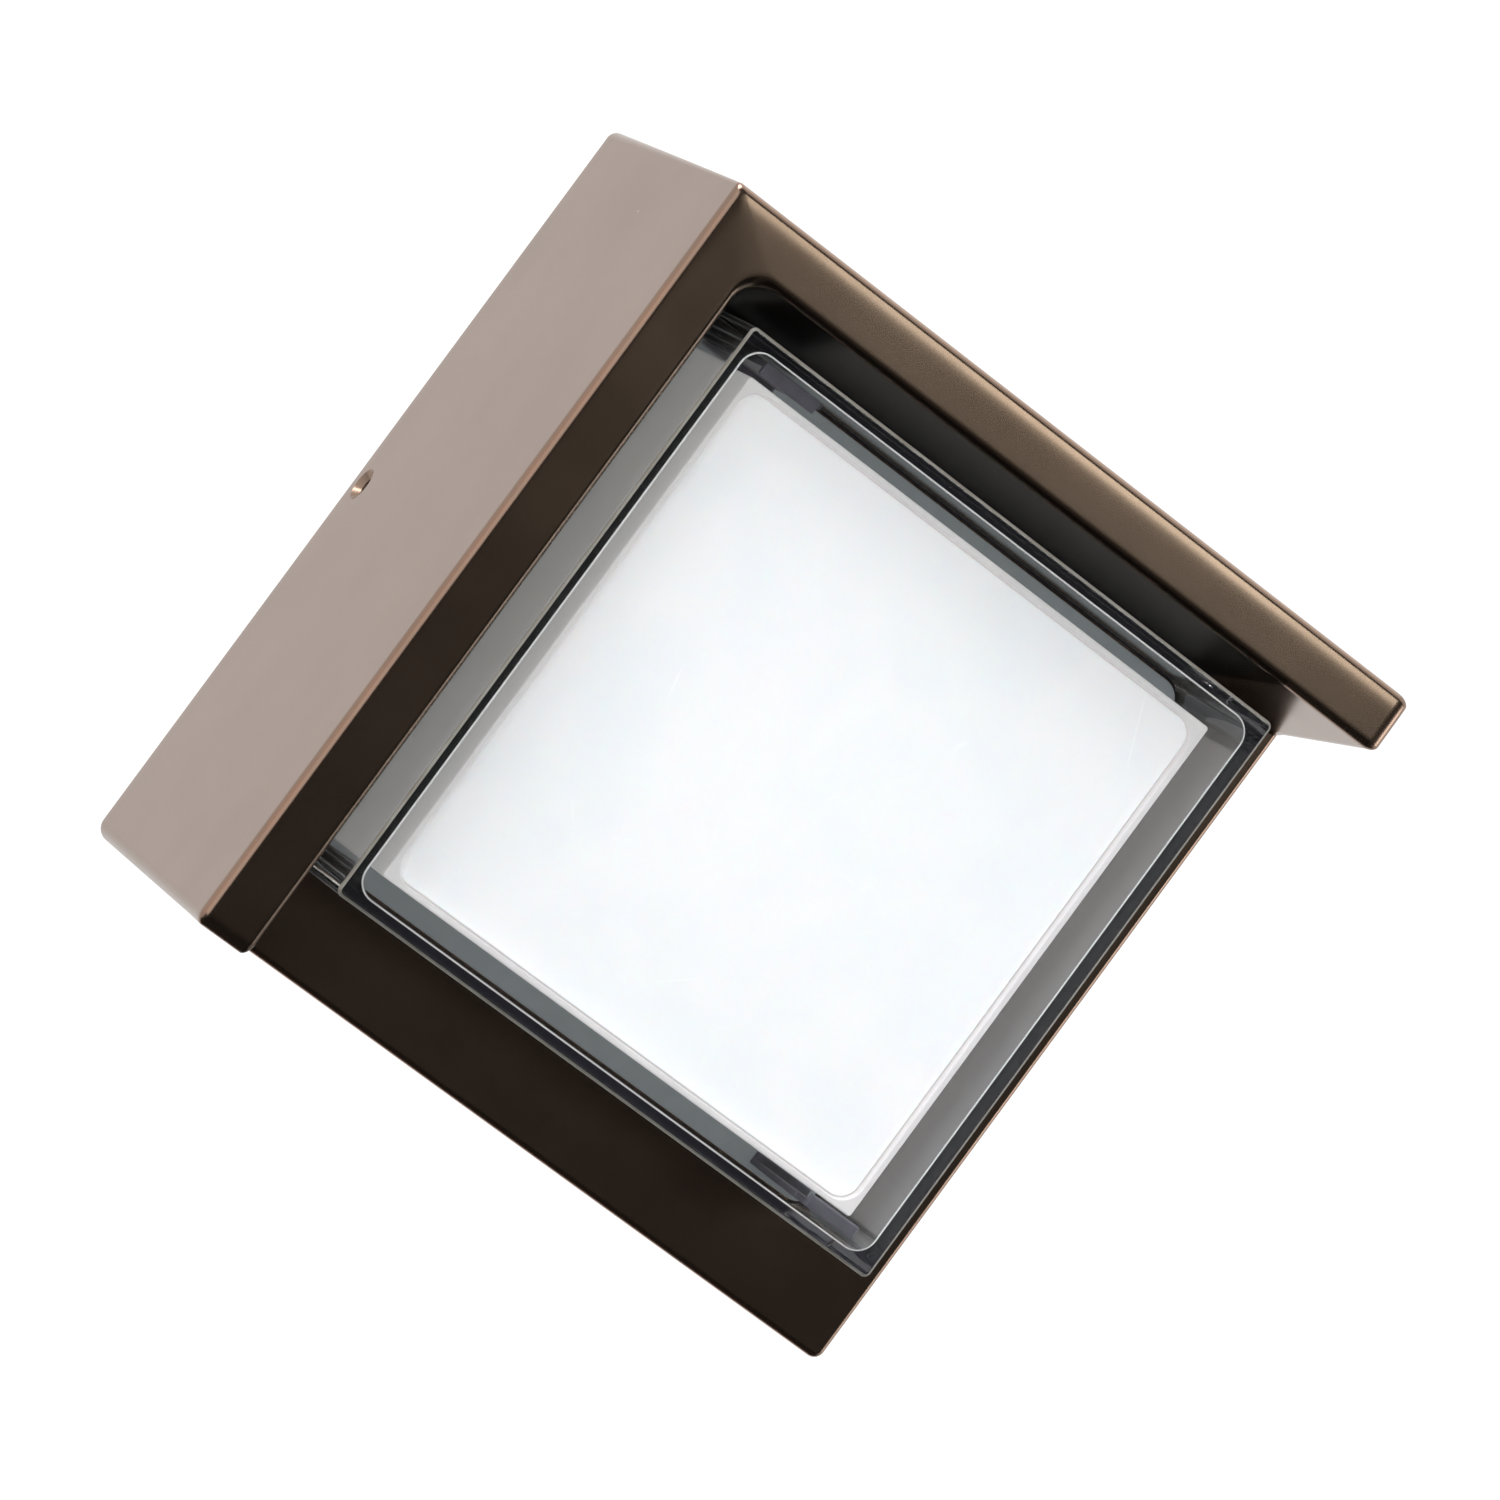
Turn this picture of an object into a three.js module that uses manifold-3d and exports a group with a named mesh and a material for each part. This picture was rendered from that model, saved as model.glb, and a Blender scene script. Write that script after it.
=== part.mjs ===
// Square outdoor wall lantern: die-cast housing with an L-shaped hood round a clear lens box.
// Millimetres. +X right, +Y into the wall, +Z up. Origin on the wall, at the centre of the wall plate.
import * as THREE from "three";
import { mergeVertices } from "three/addons/utils/BufferGeometryUtils.js";
import Module from "manifold-3d";

const wasm = await Module();
wasm.setup();

// Housing
const SIZE = 150;
const HALF = SIZE / 2;
const DEPTH = 80;
const CORNER_R = 1.8;
const EDGE_R = 1.2;
const RIM_W = 10.8;
const ROOT_W = 16.1;
const RIM_CORNER_R = 5.5;
const ROOT_CORNER_R = 2;
const RIM_FILLET = 1.6;
const FACE_Y = -39.3;
const FACE_T = 4.3;
const BACK_Y = -0.4;
const WALL_T = 3.6;
const HOOD_CORE_WALL = 3;
const BACK_GROOVE_OUT = HALF - 0.9;
const BACK_GROOVE_IN = HALF - 2.8;
const BACK_GROOVE_D = 2.5;
const GAP = 0.3;

// Lens box
const LENS_HALF = 57.9;
const LENS_ROOT_HALF = 58.1;
const LENS_T = 2.2;
const LENS_FRONT_Y = -77.7;
const LENS_CORNER_R = 1.2;
const LENS_INNER_R = 4;
const GROOVE_OUT = LENS_ROOT_HALF + 0.35;
const GROOVE_IN = LENS_ROOT_HALF - LENS_T - 0.5;
const GROOVE_D = 2.6;
const LENS_BACK_Y = FACE_Y + 1.1;

// Light module
const SPREADER_HALF = 55.1;
const SPREADER_T = 1.6;
const SPREADER_BACK_Y = FACE_Y - GAP;
const SPREADER_FRONT_Y = SPREADER_BACK_Y - SPREADER_T;
const TRAY_HALF = 51.2;
const TRAY_BACK_Y = SPREADER_FRONT_Y - GAP;
const TRAY_FRONT_Y = -70.5;
const TRAY_FLOOR_T = 1.5;
const TRAY_RIM_T = 1.1;
const TRAY_LEDGE_W = 2.7;
const PANEL_FRONT_Y = -69;
const PANEL_T = 2;
const PANEL_R = 3.6;
const BOARD_HALF = 46;
const BOARD_T = 1.6;
const BOARD_BACK_Y = TRAY_BACK_Y - TRAY_FLOOR_T - GAP;
const BOARD_FRONT_Y = BOARD_BACK_Y - BOARD_T;
const LED_GRID = 5;
const LED_PITCH = 17;
const LED_SIZE = 3;
const LED_H = 0.7;
const LED_SCREW_AT = 40;
const CLIP_T = 1.1;
const CLIP_FOOT_W = 2.4;
const CLIP_FRONT_Y = -71.5;
const CLIP_NOTCH = 1.6;
const CLIP_UPPER = { x0: -50.6, x1: -37.4, notchX: -37.4, z: 54.7, inward: -1 };
const CLIP_LOWER = { x0: 41.6, x1: 53.6, notchX: 41.6, z: -54, inward: 1 };

// Wall plate and its screws
const PLATE_T = 2;
const PLATE_HALF_H = 34;
const TAB_OUT_X = 66.8;
const TAB_HALF_H = 13;
const TAB_FRONT_Y = -12;
const WIRE_HOLE_R = 11;
const WIRE_HOLE_Z = -19;
const SLOT_W = 5;
const SLOT_IN_X = 33;
const SLOT_OUT_X = 47;
const SET_SCREW_Y = -6.2;
const SET_SCREW_R = 1.75;
const SET_BORE_R = 2.05;
const COUNTERSINK_R = 3.15;
const COUNTERSINK_D = 1.1;
const BOSS_R = 5;
const BOSS_IN_X = 68;

// Driver bay
const BAY_Y = FACE_Y + FACE_T;
const DRIVER = { x: 42, z0: 6, z1: 46, depth: 22, wall: 1.6 };
const DRIVER_BACK_Y = BAY_Y + GAP + DRIVER.depth;
const DRIVER_EAR_X = 49;
const DRIVER_EAR_T = 2;
const LEAD_R = 0.8;
const LEAD_PITCH = 2;
const LEAD_HOLE = { x: 25.5, z: -8.5, r: 4.2 };
const DRIVER_EXIT_X = 26;
const TERMINAL = { x: -26, z: -26, w: 30, h: 12, d: 13 };

// --- mesh helpers ---

function toManifold(geometry) {
  const g = geometry.clone();
  g.deleteAttribute("normal");
  g.deleteAttribute("uv");
  const m = mergeVertices(g, 1e-4);
  return new wasm.Manifold(new wasm.Mesh({
    numProp: 3,
    vertProperties: new Float32Array(m.attributes.position.array),
    triVerts: new Uint32Array(m.index.array),
  }));
}

function toGeometry(solid) {
  const mesh = solid.getMesh();
  const g = new THREE.BufferGeometry();
  g.setAttribute("position", new THREE.BufferAttribute(new Float32Array(mesh.vertProperties), 3));
  g.setIndex(new THREE.BufferAttribute(new Uint32Array(mesh.triVerts), 1));
  g.computeVertexNormals();
  return g;
}

// Corner points of a rectangle in X-Z, counter-clockwise, with one radius per corner
// in the order low-low, high-low, high-high, low-high.
function roundedRect(x0, z0, x1, z1, radii, steps = 5) {
  const r = Array.isArray(radii) ? radii : [radii, radii, radii, radii];
  const corners = [[x0, z0, 1, 1, 180], [x1, z0, -1, 1, 270], [x1, z1, -1, -1, 0], [x0, z1, 1, -1, 90]];
  const points = [];
  corners.forEach(([x, z, sx, sz, start], i) => {
    for (let k = 0; k <= steps; k += 1) {
      const a = THREE.MathUtils.degToRad(start + (90 * k) / steps);
      points.push([x + sx * r[i] + r[i] * Math.cos(a), z + sz * r[i] + r[i] * Math.sin(a)]);
    }
  });
  return points;
}

function square(half, radius, steps) {
  return roundedRect(-half, -half, half, half, Math.max(radius, 0.01), steps);
}

// Closed body through rings of [y, points]; every ring has the same number of points.
function loft(rings) {
  const n = rings[0][1].length;
  const position = [];
  rings.forEach(([y, points]) => points.forEach(([x, z]) => position.push(x, y, z)));
  const index = [];
  for (let k = 0; k + 1 < rings.length; k += 1) {
    for (let i = 0; i < n; i += 1) {
      const a = k * n + i;
      const b = k * n + ((i + 1) % n);
      index.push(a, b, b + n, a, b + n, a + n);
    }
  }
  const contour = rings[0][1].map(([x, z]) => new THREE.Vector2(x, z));
  const faces = THREE.ShapeUtils.triangulateShape(contour, []);
  const last = (rings.length - 1) * n;
  faces.forEach(([a, b, c]) => index.push(c, b, a));
  faces.forEach(([a, b, c]) => index.push(last + a, last + b, last + c));
  const g = new THREE.BufferGeometry();
  g.setAttribute("position", new THREE.Float32BufferAttribute(position, 3));
  g.setIndex(index);
  return signedVolume(g) < 0 ? flipped(g) : g;
}

function signedVolume(g) {
  const p = g.attributes.position;
  const v = [new THREE.Vector3(), new THREE.Vector3(), new THREE.Vector3()];
  let total = 0;
  for (let i = 0; i < g.index.count; i += 3) {
    v.forEach((w, k) => w.fromBufferAttribute(p, g.index.getX(i + k)));
    total += v[0].dot(v[1].clone().cross(v[2]));
  }
  return total;
}

function flipped(g) {
  const a = g.index.array;
  for (let i = 0; i < a.length; i += 3) {
    [a[i], a[i + 1]] = [a[i + 1], a[i]];
  }
  return g;
}

function slab(points, y0, y1) {
  return toManifold(loft([[y0, points], [y1, points]]));
}

function block(x0, x1, y0, y1, z0, z1) {
  const g = new THREE.BoxGeometry(x1 - x0, y1 - y0, z1 - z0);
  g.translate((x0 + x1) / 2, (y0 + y1) / 2, (z0 + z1) / 2);
  return toManifold(g);
}

function rodY(radius, y0, y1, x, z, sides = 24) {
  const g = new THREE.CylinderGeometry(radius, radius, y1 - y0, sides);
  g.translate(x, (y0 + y1) / 2, z);
  return toManifold(g);
}

// The interval from a to b times side, low end first.
function span(side, a, b) {
  return side > 0 ? [a, b] : [-b, -a];
}

// Cone or cylinder along X between x0 and x1, with the radius at each end.
function rodX(r0, r1, x0, x1, y, z, sides = 24) {
  const g = new THREE.CylinderGeometry(r1, r0, x1 - x0, sides);
  g.rotateZ(-Math.PI / 2);
  g.translate((x0 + x1) / 2, y, z);
  return toManifold(g);
}

// Round bar along a path of points.
function wire(points, radius) {
  const path = new THREE.CatmullRomCurve3(points.map((p) => new THREE.Vector3(...p)), false, "centripetal");
  const section = new THREE.Shape();
  section.absarc(0, 0, radius, 0, Math.PI * 2, false);
  return new THREE.ExtrudeGeometry(section, { steps: 48, curveSegments: 5, extrudePath: path });
}

const group = new THREE.Group();

function add(name, shape, color, roughness, metalness) {
  const geometry = shape.isBufferGeometry ? shape : toGeometry(shape);
  const material = new THREE.MeshStandardMaterial({ color, roughness, metalness });
  const mesh = new THREE.Mesh(geometry, material);
  mesh.name = name;
  group.add(mesh);
}

// --- housing ---

// Rings of a quarter-round edge that starts at the front plane y and ends a radius behind it.
function filletRings(y, r, outline, steps = 4) {
  const rings = [];
  for (let k = steps; k >= 0; k -= 1) {
    const a = (Math.PI / 2) * (k / steps);
    rings.push([y + r * (1 - Math.sin(a)), outline(r * (1 - Math.cos(a)))]);
  }
  return rings;
}

function housingBlank() {
  const outline = (inset) => square(HALF - inset, CORNER_R - inset * 0.5);
  const front = filletRings(-DEPTH, EDGE_R, outline);
  return toManifold(loft([...front, [BACK_Y, outline(0)]]));
}

// Space in front of the face, open to the right and below; its sides slope with the hood.
function hoodSpace() {
  const far = SIZE;
  const outline = (w, r) => roundedRect(-HALF + w, -far, far, HALF - w, [0.01, 0.01, 0.01, r]);
  const slope = (ROOT_W - RIM_W) / (DEPTH + FACE_Y);
  const full = RIM_W + slope * RIM_FILLET;
  const flare = filletRings(-DEPTH, RIM_FILLET, (inset) => outline(full - inset, RIM_CORNER_R));
  const mouth = [-DEPTH - 2, outline(full - RIM_FILLET, RIM_CORNER_R)];
  return toManifold(loft([mouth, ...flare, [FACE_Y, outline(ROOT_W, ROOT_CORNER_R)]]));
}

function lShape(outer, left, top, end) {
  return [[-outer, -end], [-outer + left, -end], [-outer + left, outer - top],
    [end, outer - top], [end, outer], [-outer, outer]];
}

// Hollow inside the L-shaped hood, reached from behind.
function hoodCore() {
  const outer = HALF - HOOD_CORE_WALL;
  const end = HALF - HOOD_CORE_WALL;
  const root = ROOT_W - 2 * HOOD_CORE_WALL;
  const rim = RIM_W - 2 * HOOD_CORE_WALL + 0.4;
  return toManifold(loft([
    [-DEPTH + HOOD_CORE_WALL, lShape(outer, rim, rim, end)],
    [FACE_Y, lShape(outer, root, root, end)],
    [BAY_Y + 1, lShape(outer, root, root, end)],
  ]));
}

function setScrewHole(side) {
  const radii = side > 0 ? [SET_BORE_R, COUNTERSINK_R] : [COUNTERSINK_R, SET_BORE_R];
  const cone = rodX(...radii, ...span(side, HALF - COUNTERSINK_D, HALF + 0.01), SET_SCREW_Y, 0);
  return cone.add(rodX(SET_BORE_R, SET_BORE_R, ...span(side, BOSS_IN_X - 2, HALF + 1), SET_SCREW_Y, 0));
}

function setScrewBoss(side) {
  const boss = rodX(BOSS_R, BOSS_R, ...span(side, BOSS_IN_X, HALF - 1), SET_SCREW_Y, 0);
  return boss.intersect(block(-HALF, HALF, -DEPTH, BACK_Y - BACK_GROOVE_D - 0.4, -HALF, HALF));
}

function blindHoles() {
  const earth = rodY(1.6, BAY_Y - 3, BAY_Y + 1, 52, -48);
  const driver = [-1, 1].map((s) => rodY(1.6, BAY_Y - 3, BAY_Y + 1, s * (DRIVER_EAR_X - 3.5), 26));
  return driver.reduce((a, b) => a.add(b), earth);
}

function ledScrewHoles(radius, y0, y1) {
  return ledScrewSpots().map(([x, z]) => rodY(radius, y0, y1, x, z)).reduce((a, b) => a.add(b));
}

function ledScrewSpots() {
  return [[-1, 1], [1, 1], [-1, -1], [1, -1]].map(([i, k]) => [i * LED_SCREW_AT, k * LED_SCREW_AT]);
}

function housing() {
  const cavity = slab(square(HALF - WALL_T, 1.5), BAY_Y, BACK_Y + 1);
  const lensGroove = slab(square(GROOVE_OUT, LENS_CORNER_R), FACE_Y - 1, FACE_Y + GROOVE_D)
    .subtract(slab(square(GROOVE_IN, LENS_INNER_R), FACE_Y - 2, FACE_Y + GROOVE_D + 1));
  const backGroove = slab(square(BACK_GROOVE_OUT, 1), BACK_Y - BACK_GROOVE_D, BACK_Y + 1)
    .subtract(slab(square(BACK_GROOVE_IN, 0.5), BACK_Y - BACK_GROOVE_D - 1, BACK_Y + 2));
  const leadHole = rodY(LEAD_HOLE.r, FACE_Y - 1, BAY_Y + 1, LEAD_HOLE.x, LEAD_HOLE.z);
  const shell = housingBlank().subtract(hoodSpace()).subtract(cavity).subtract(hoodCore())
    .subtract(lensGroove).subtract(backGroove).subtract(leadHole);
  return shell.add(setScrewBoss(-1)).add(setScrewBoss(1)).subtract(setScrewHole(-1))
    .subtract(setScrewHole(1)).subtract(blindHoles()).subtract(ledScrewHoles(1.6, FACE_Y - 1, FACE_Y + 3));
}

function frame(halfOut, halfIn, y0, y1, rOut, rIn) {
  return slab(square(halfOut, rOut), y0, y1).subtract(slab(square(halfIn, rIn), y0 - 1, y1 + 1));
}

// Headless screw with a cone tip towards the plate's tab and a hexagon socket outside.
function setScrew(side) {
  const tip = TAB_OUT_X + GAP;
  const coneR = side > 0 ? [0.8, SET_SCREW_R] : [SET_SCREW_R, 0.8];
  return rodX(SET_SCREW_R, SET_SCREW_R, ...span(side, tip + 1, HALF - 1.6), SET_SCREW_Y, 0)
    .add(rodX(...coneR, ...span(side, tip, tip + 1), SET_SCREW_Y, 0))
    .subtract(rodX(0.95, 0.95, ...span(side, HALF - 3.6, HALF), SET_SCREW_Y, 0, 6));
}

// --- lens and light module ---

function lensCover() {
  const front = filletRings(LENS_FRONT_Y, 0.5, (o) => square(LENS_HALF - o, LENS_CORNER_R - o), 3);
  const body = toManifold(loft([...front, [LENS_BACK_Y, square(LENS_ROOT_HALF, LENS_CORNER_R)]]));
  const hollow = toManifold(loft([
    [LENS_FRONT_Y + LENS_T, square(LENS_HALF - LENS_T, LENS_INNER_R)],
    [LENS_BACK_Y + 1, square(LENS_ROOT_HALF - LENS_T, LENS_INNER_R)],
  ]));
  return body.subtract(hollow);
}

function heatSpreader() {
  const lead = rodY(LEAD_HOLE.r, SPREADER_FRONT_Y - 1, SPREADER_BACK_Y + 1, LEAD_HOLE.x, LEAD_HOLE.z);
  return slab(square(SPREADER_HALF, LENS_INNER_R), SPREADER_FRONT_Y, SPREADER_BACK_Y)
    .subtract(ledScrewHoles(1.8, SPREADER_FRONT_Y - 1, SPREADER_BACK_Y + 1)).subtract(lead);
}

function reflectorTray() {
  const floorFront = TRAY_BACK_Y - TRAY_FLOOR_T;
  const ledgeY = PANEL_FRONT_Y + PANEL_T + GAP;
  const well = slab(square(TRAY_HALF - TRAY_LEDGE_W, PANEL_R), TRAY_FRONT_Y - 1, floorFront);
  const seat = slab(square(TRAY_HALF - TRAY_RIM_T, PANEL_R + 0.4), TRAY_FRONT_Y - 1, ledgeY);
  const lead = rodY(LEAD_HOLE.r, TRAY_BACK_Y - 3, TRAY_BACK_Y + 1, LEAD_HOLE.x, LEAD_HOLE.z);
  return slab(square(TRAY_HALF, 0.6), TRAY_FRONT_Y, TRAY_BACK_Y).subtract(well).subtract(seat)
    .subtract(ledScrewHoles(1.8, TRAY_BACK_Y - 3, TRAY_BACK_Y + 1)).subtract(lead);
}

function diffuserPanel() {
  return slab(square(TRAY_HALF - TRAY_RIM_T - GAP, PANEL_R), PANEL_FRONT_Y, PANEL_FRONT_Y + PANEL_T);
}

function ledBoard() {
  let board = slab(square(BOARD_HALF, 2), BOARD_FRONT_Y, BOARD_BACK_Y);
  for (let i = 0; i < LED_GRID; i += 1) {
    for (let k = 0; k < LED_GRID; k += 1) {
      const x = (i - (LED_GRID - 1) / 2) * LED_PITCH;
      const z = (k - (LED_GRID - 1) / 2) * LED_PITCH;
      const h = LED_SIZE / 2;
      board = board.add(block(x - h, x + h, BOARD_FRONT_Y - LED_H, BOARD_FRONT_Y + 0.5, z - h, z + h));
    }
  }
  const lead = rodY(LEAD_HOLE.r, BOARD_FRONT_Y - 2, BOARD_BACK_Y + 1, LEAD_HOLE.x, LEAD_HOLE.z);
  return board.subtract(ledScrewHoles(1.8, BOARD_FRONT_Y - 1, BOARD_BACK_Y + 1)).subtract(lead);
}

// Pan-head screw driven along +Y; seat is the plane under the head.
function panScrew(x, z, seat, tip, shankR, headR, headH) {
  const profile = [[0, tip], [shankR - 0.3, tip], [shankR, tip - 0.6], [shankR, seat], [headR, seat],
    [headR, seat - headH * 0.4], [headR * 0.7, seat - headH * 0.85], [0, seat - headH]];
  const g = new THREE.LatheGeometry(profile.map(([r, y]) => new THREE.Vector2(r, y)), 20);
  g.translate(x, 0, z);
  const slotY = seat - headH * 0.45;
  const arm = headR * 0.55;
  const cross = block(x - arm, x + arm, seat - headH - 1, slotY, z - 0.35, z + 0.35)
    .add(block(x - 0.35, x + 0.35, seat - headH - 1, slotY, z - arm, z + arm));
  return outward(g).subtract(cross);
}

// Screw whose head faces the wall; head and shank are mirrored in Y.
function panScrewFromBehind(x, z, seat, tip, shankR, headR, headH) {
  return panScrew(x, z, -seat, -tip, shankR, headR, headH).mirror([0, 1, 0]);
}

function outward(geometry) {
  const g = geometry.clone();
  g.deleteAttribute("normal");
  g.deleteAttribute("uv");
  const merged = mergeVertices(g, 1e-4);
  return toManifold(signedVolume(merged) < 0 ? flipped(merged) : merged);
}

// Upright spring blade with a foot, a lip at the front and a notch in the lip.
function lensClip({ x0, x1, notchX, z, inward }) {
  const strip = (w) => [z, z + inward * w].sort((a, b) => a - b);
  const blade = strip(CLIP_T);
  const foot = strip(CLIP_FOOT_W);
  const back = SPREADER_FRONT_Y - GAP;
  const lip = CLIP_FRONT_Y + 1.4;
  const notch = block(notchX - CLIP_NOTCH, notchX + CLIP_NOTCH, CLIP_FRONT_Y - 1, lip + 1.6,
    foot[0] - 1, foot[1] + 1);
  return block(x0, x1, CLIP_FRONT_Y, back, ...blade).add(block(x0, x1, back - 1, back, ...foot))
    .add(block(x0, x1, CLIP_FRONT_Y, lip, ...foot)).subtract(notch);
}

// --- wall plate ---

function wallPlate() {
  const bend = 1;
  let plate = slab(roundedRect(-TAB_OUT_X, -PLATE_HALF_H, TAB_OUT_X, PLATE_HALF_H, 3), -PLATE_T, 0);
  [-1, 1].forEach((s) => {
    const tab = span(s, TAB_OUT_X - PLATE_T, TAB_OUT_X);
    plate = plate.add(block(...tab, TAB_FRONT_Y, -bend, -TAB_HALF_H, TAB_HALF_H));
    const slot = span(s, SLOT_IN_X, SLOT_OUT_X);
    const outline = roundedRect(slot[0], -SLOT_W / 2, slot[1], SLOT_W / 2, SLOT_W / 2 - 0.01, 6);
    plate = plate.subtract(slab(outline, -PLATE_T - 1, 1));
  });
  return plate.subtract(rodY(WIRE_HOLE_R, -PLATE_T - 1, 1, 0, WIRE_HOLE_Z, 40));
}

// Rubber ring that lines a round hole between y0 and y1, with a flange between f0 and f1.
function bushing(x, z, holeR, y0, y1, f0, f1) {
  return rodY(holeR - GAP, y0, y1, x, z, 32).add(rodY(holeR + 1.4, f0, f1, x, z, 32))
    .subtract(rodY(holeR - 1.6, y0 - 2, y1 + 2, x, z, 32));
}

// --- driver bay ---

function driverCase() {
  const front = BAY_Y + GAP;
  const { x, z0, z1, wall } = DRIVER;
  const inside = roundedRect(-x + wall, z0 + wall, x - wall, z1 - wall, 1);
  const tub = slab(roundedRect(-x, z0, x, z1, 1.5), front, DRIVER_BACK_Y)
    .subtract(slab(inside, front + wall, DRIVER_BACK_Y + 1));
  const ears = block(-DRIVER_EAR_X, DRIVER_EAR_X, front, front + DRIVER_EAR_T, 20, 32)
    .subtract(block(-x + wall, x - wall, front - 1, front + 4, 19, 33));
  const holes = [-1, 1].map((s) => rodY(1.8, front - 1, front + 3, s * (DRIVER_EAR_X - 3.5), 26));
  const exits = [-1, 1].map((s) => rodZ(3, z0 - 1, z0 + wall + 1, s * DRIVER_EXIT_X, front + 8));
  return [...holes, ...exits].reduce((a, b) => a.subtract(b), tub.add(ears));
}

function rodZ(radius, z0, z1, x, y) {
  const g = new THREE.CylinderGeometry(radius, radius, z1 - z0, 24);
  g.rotateX(Math.PI / 2);
  g.translate(x, y, (z0 + z1) / 2);
  return toManifold(g);
}

function driverLid() {
  const { x, z0, z1 } = DRIVER;
  return slab(roundedRect(-x, z0, x, z1, 1.5), DRIVER_BACK_Y + GAP, DRIVER_BACK_Y + GAP + 1.2);
}

// Circuit board with its transformer and capacitor standing on it.
function driverBoard() {
  const { x, z0, z1, wall } = DRIVER;
  const y = BAY_Y + 13.5;
  const inset = wall + 0.6;
  const board = block(-x + inset, x - inset, y, y + 1.4, z0 + inset, z1 - inset);
  const transformer = block(-9, 11, y - 10, y + 0.5, z0 + 12, z0 + 30);
  const capacitor = rodY(5, y - 9, y + 0.5, -24, z0 + 26, 20);
  return board.add(transformer).add(capacitor);
}

function terminalBlock() {
  const { x, z, w, h, d } = TERMINAL;
  const front = BAY_Y + GAP;
  let body = block(x - w / 2, x + w / 2, front, front + d, z - h / 2, z + h / 2);
  [-1, 0, 1].forEach((i) => {
    body = body.subtract(rodY(2.2, front + d - 3, front + d + 1, x + i * 9, z))
      .subtract(rodZ(1.9, z - h, z - h / 2 + 4, x + i * 9, front + 5))
      .subtract(rodZ(1.9, z + h / 2 - 4, z + h, x + i * 9, front + 5));
  });
  return body;
}

// Low-voltage lead: driver, down the bay, through the bushing and onto the LED board.
function dcLead(side) {
  const x = LEAD_HOLE.x + (side * LEAD_PITCH) / 2;
  const { z } = LEAD_HOLE;
  const exit = BAY_Y + GAP + 8;
  const top = BOARD_FRONT_Y - LEAD_R - GAP;
  return wire([[x, exit, DRIVER.z0 + 5], [x, exit, DRIVER.z0 - 4], [x, exit - 0.8, z + 4.5],
    [x, exit - 4.2, z + 0.4], [x, BAY_Y + 1, z], [x, FACE_Y, z], [x, BOARD_BACK_Y, z],
    [x, BOARD_FRONT_Y - 1.4, z - 0.5], [x, top - 1, z - 3], [x, top - 0.2, z - 6], [x, top, z - 9]], LEAD_R);
}

// Mains lead: driver to one pole of the terminal block.
function acLead(side) {
  const x = TERMINAL.x + side * 9;
  const y = BAY_Y + GAP + 5;
  return wire([[-DRIVER_EXIT_X + side, y + 3, DRIVER.z0 + 5], [-DRIVER_EXIT_X + side, y + 3, DRIVER.z0 - 3],
    [-DRIVER_EXIT_X + side * 4, y + 3.5, -5], [x, y, -14],
    [x, y, TERMINAL.z + TERMINAL.h / 2 - 2.5]], LEAD_R);
}

const LED_SCREW_SEAT = BOARD_FRONT_Y - GAP;

add("wall_plate", wallPlate(), 0xb9bcbf, 0.4, 0.9);
add("supply_bushing", bushing(0, WIRE_HOLE_Z, WIRE_HOLE_R, -3.2, -GAP, -3.2, -PLATE_T - GAP),
  0x202022, 0.85, 0);
add("housing", housing(), 0x4a3d31, 0.5, 0.6);
add("wall_gasket", frame(BACK_GROOVE_OUT - GAP, BACK_GROOVE_IN + GAP, BACK_Y - BACK_GROOVE_D + GAP, 0,
  1, 0.5), 0x1b1b1d, 0.95, 0);
add("set_screw_left", setScrew(-1), 0x6a6c6e, 0.35, 1);
add("set_screw_right", setScrew(1), 0x6a6c6e, 0.35, 1);
add("lens_cover", lensCover(), 0xdfe8ee, 0.08, 0);
add("lens_gasket", frame(GROOVE_OUT - GAP, GROOVE_IN + GAP, LENS_BACK_Y + GAP, FACE_Y + GROOVE_D - GAP,
  1.2, 3.6), 0x8c9094, 0.8, 0);
add("lens_clip_upper", lensClip(CLIP_UPPER), 0x55565c, 0.6, 0);
add("lens_clip_lower", lensClip(CLIP_LOWER), 0x55565c, 0.6, 0);
add("heat_spreader", heatSpreader(), 0x8d9293, 0.45, 0.9);
add("reflector_tray", reflectorTray(), 0xd9d8d8, 0.5, 0);
add("diffuser_panel", diffuserPanel(), 0xf4f6f8, 0.35, 0);
add("led_board", ledBoard(), 0xf0f0ea, 0.5, 0);
ledScrewSpots().forEach(([x, z], i) => {
  add(`led_screw_${i + 1}`, panScrew(x, z, LED_SCREW_SEAT, FACE_Y + 2.6, 1.3, 2.8, 1.8), 0xa8abad, 0.3, 1);
});
add("lead_bushing", bushing(LEAD_HOLE.x, LEAD_HOLE.z, LEAD_HOLE.r, FACE_Y + 0.6, BAY_Y + 1.2, BAY_Y + GAP,
  BAY_Y + 1.2), 0x202022, 0.85, 0);
add("driver_case", driverCase(), 0xe2e3e4, 0.5, 0);
add("driver_lid", driverLid(), 0xe2e3e4, 0.5, 0);
add("driver_board", driverBoard(), 0x1f5a33, 0.6, 0);
[["driver_screw_left", -1], ["driver_screw_right", 1]].forEach(([name, s]) => {
  const seat = BAY_Y + GAP + DRIVER_EAR_T + GAP;
  const x = s * (DRIVER_EAR_X - 3.5);
  add(name, panScrewFromBehind(x, 26, seat, BAY_Y - 2.6, 1.3, 2.9, 1.9), 0xa8abad, 0.3, 1);
});
add("terminal_block", terminalBlock(), 0xe9e6dc, 0.6, 0);
add("ac_lead_line", acLead(-1), 0x151515, 0.6, 0);
add("ac_lead_neutral", acLead(1), 0xe6e6e6, 0.6, 0);
add("dc_lead_positive", dcLead(1), 0xa3201c, 0.6, 0);
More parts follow.
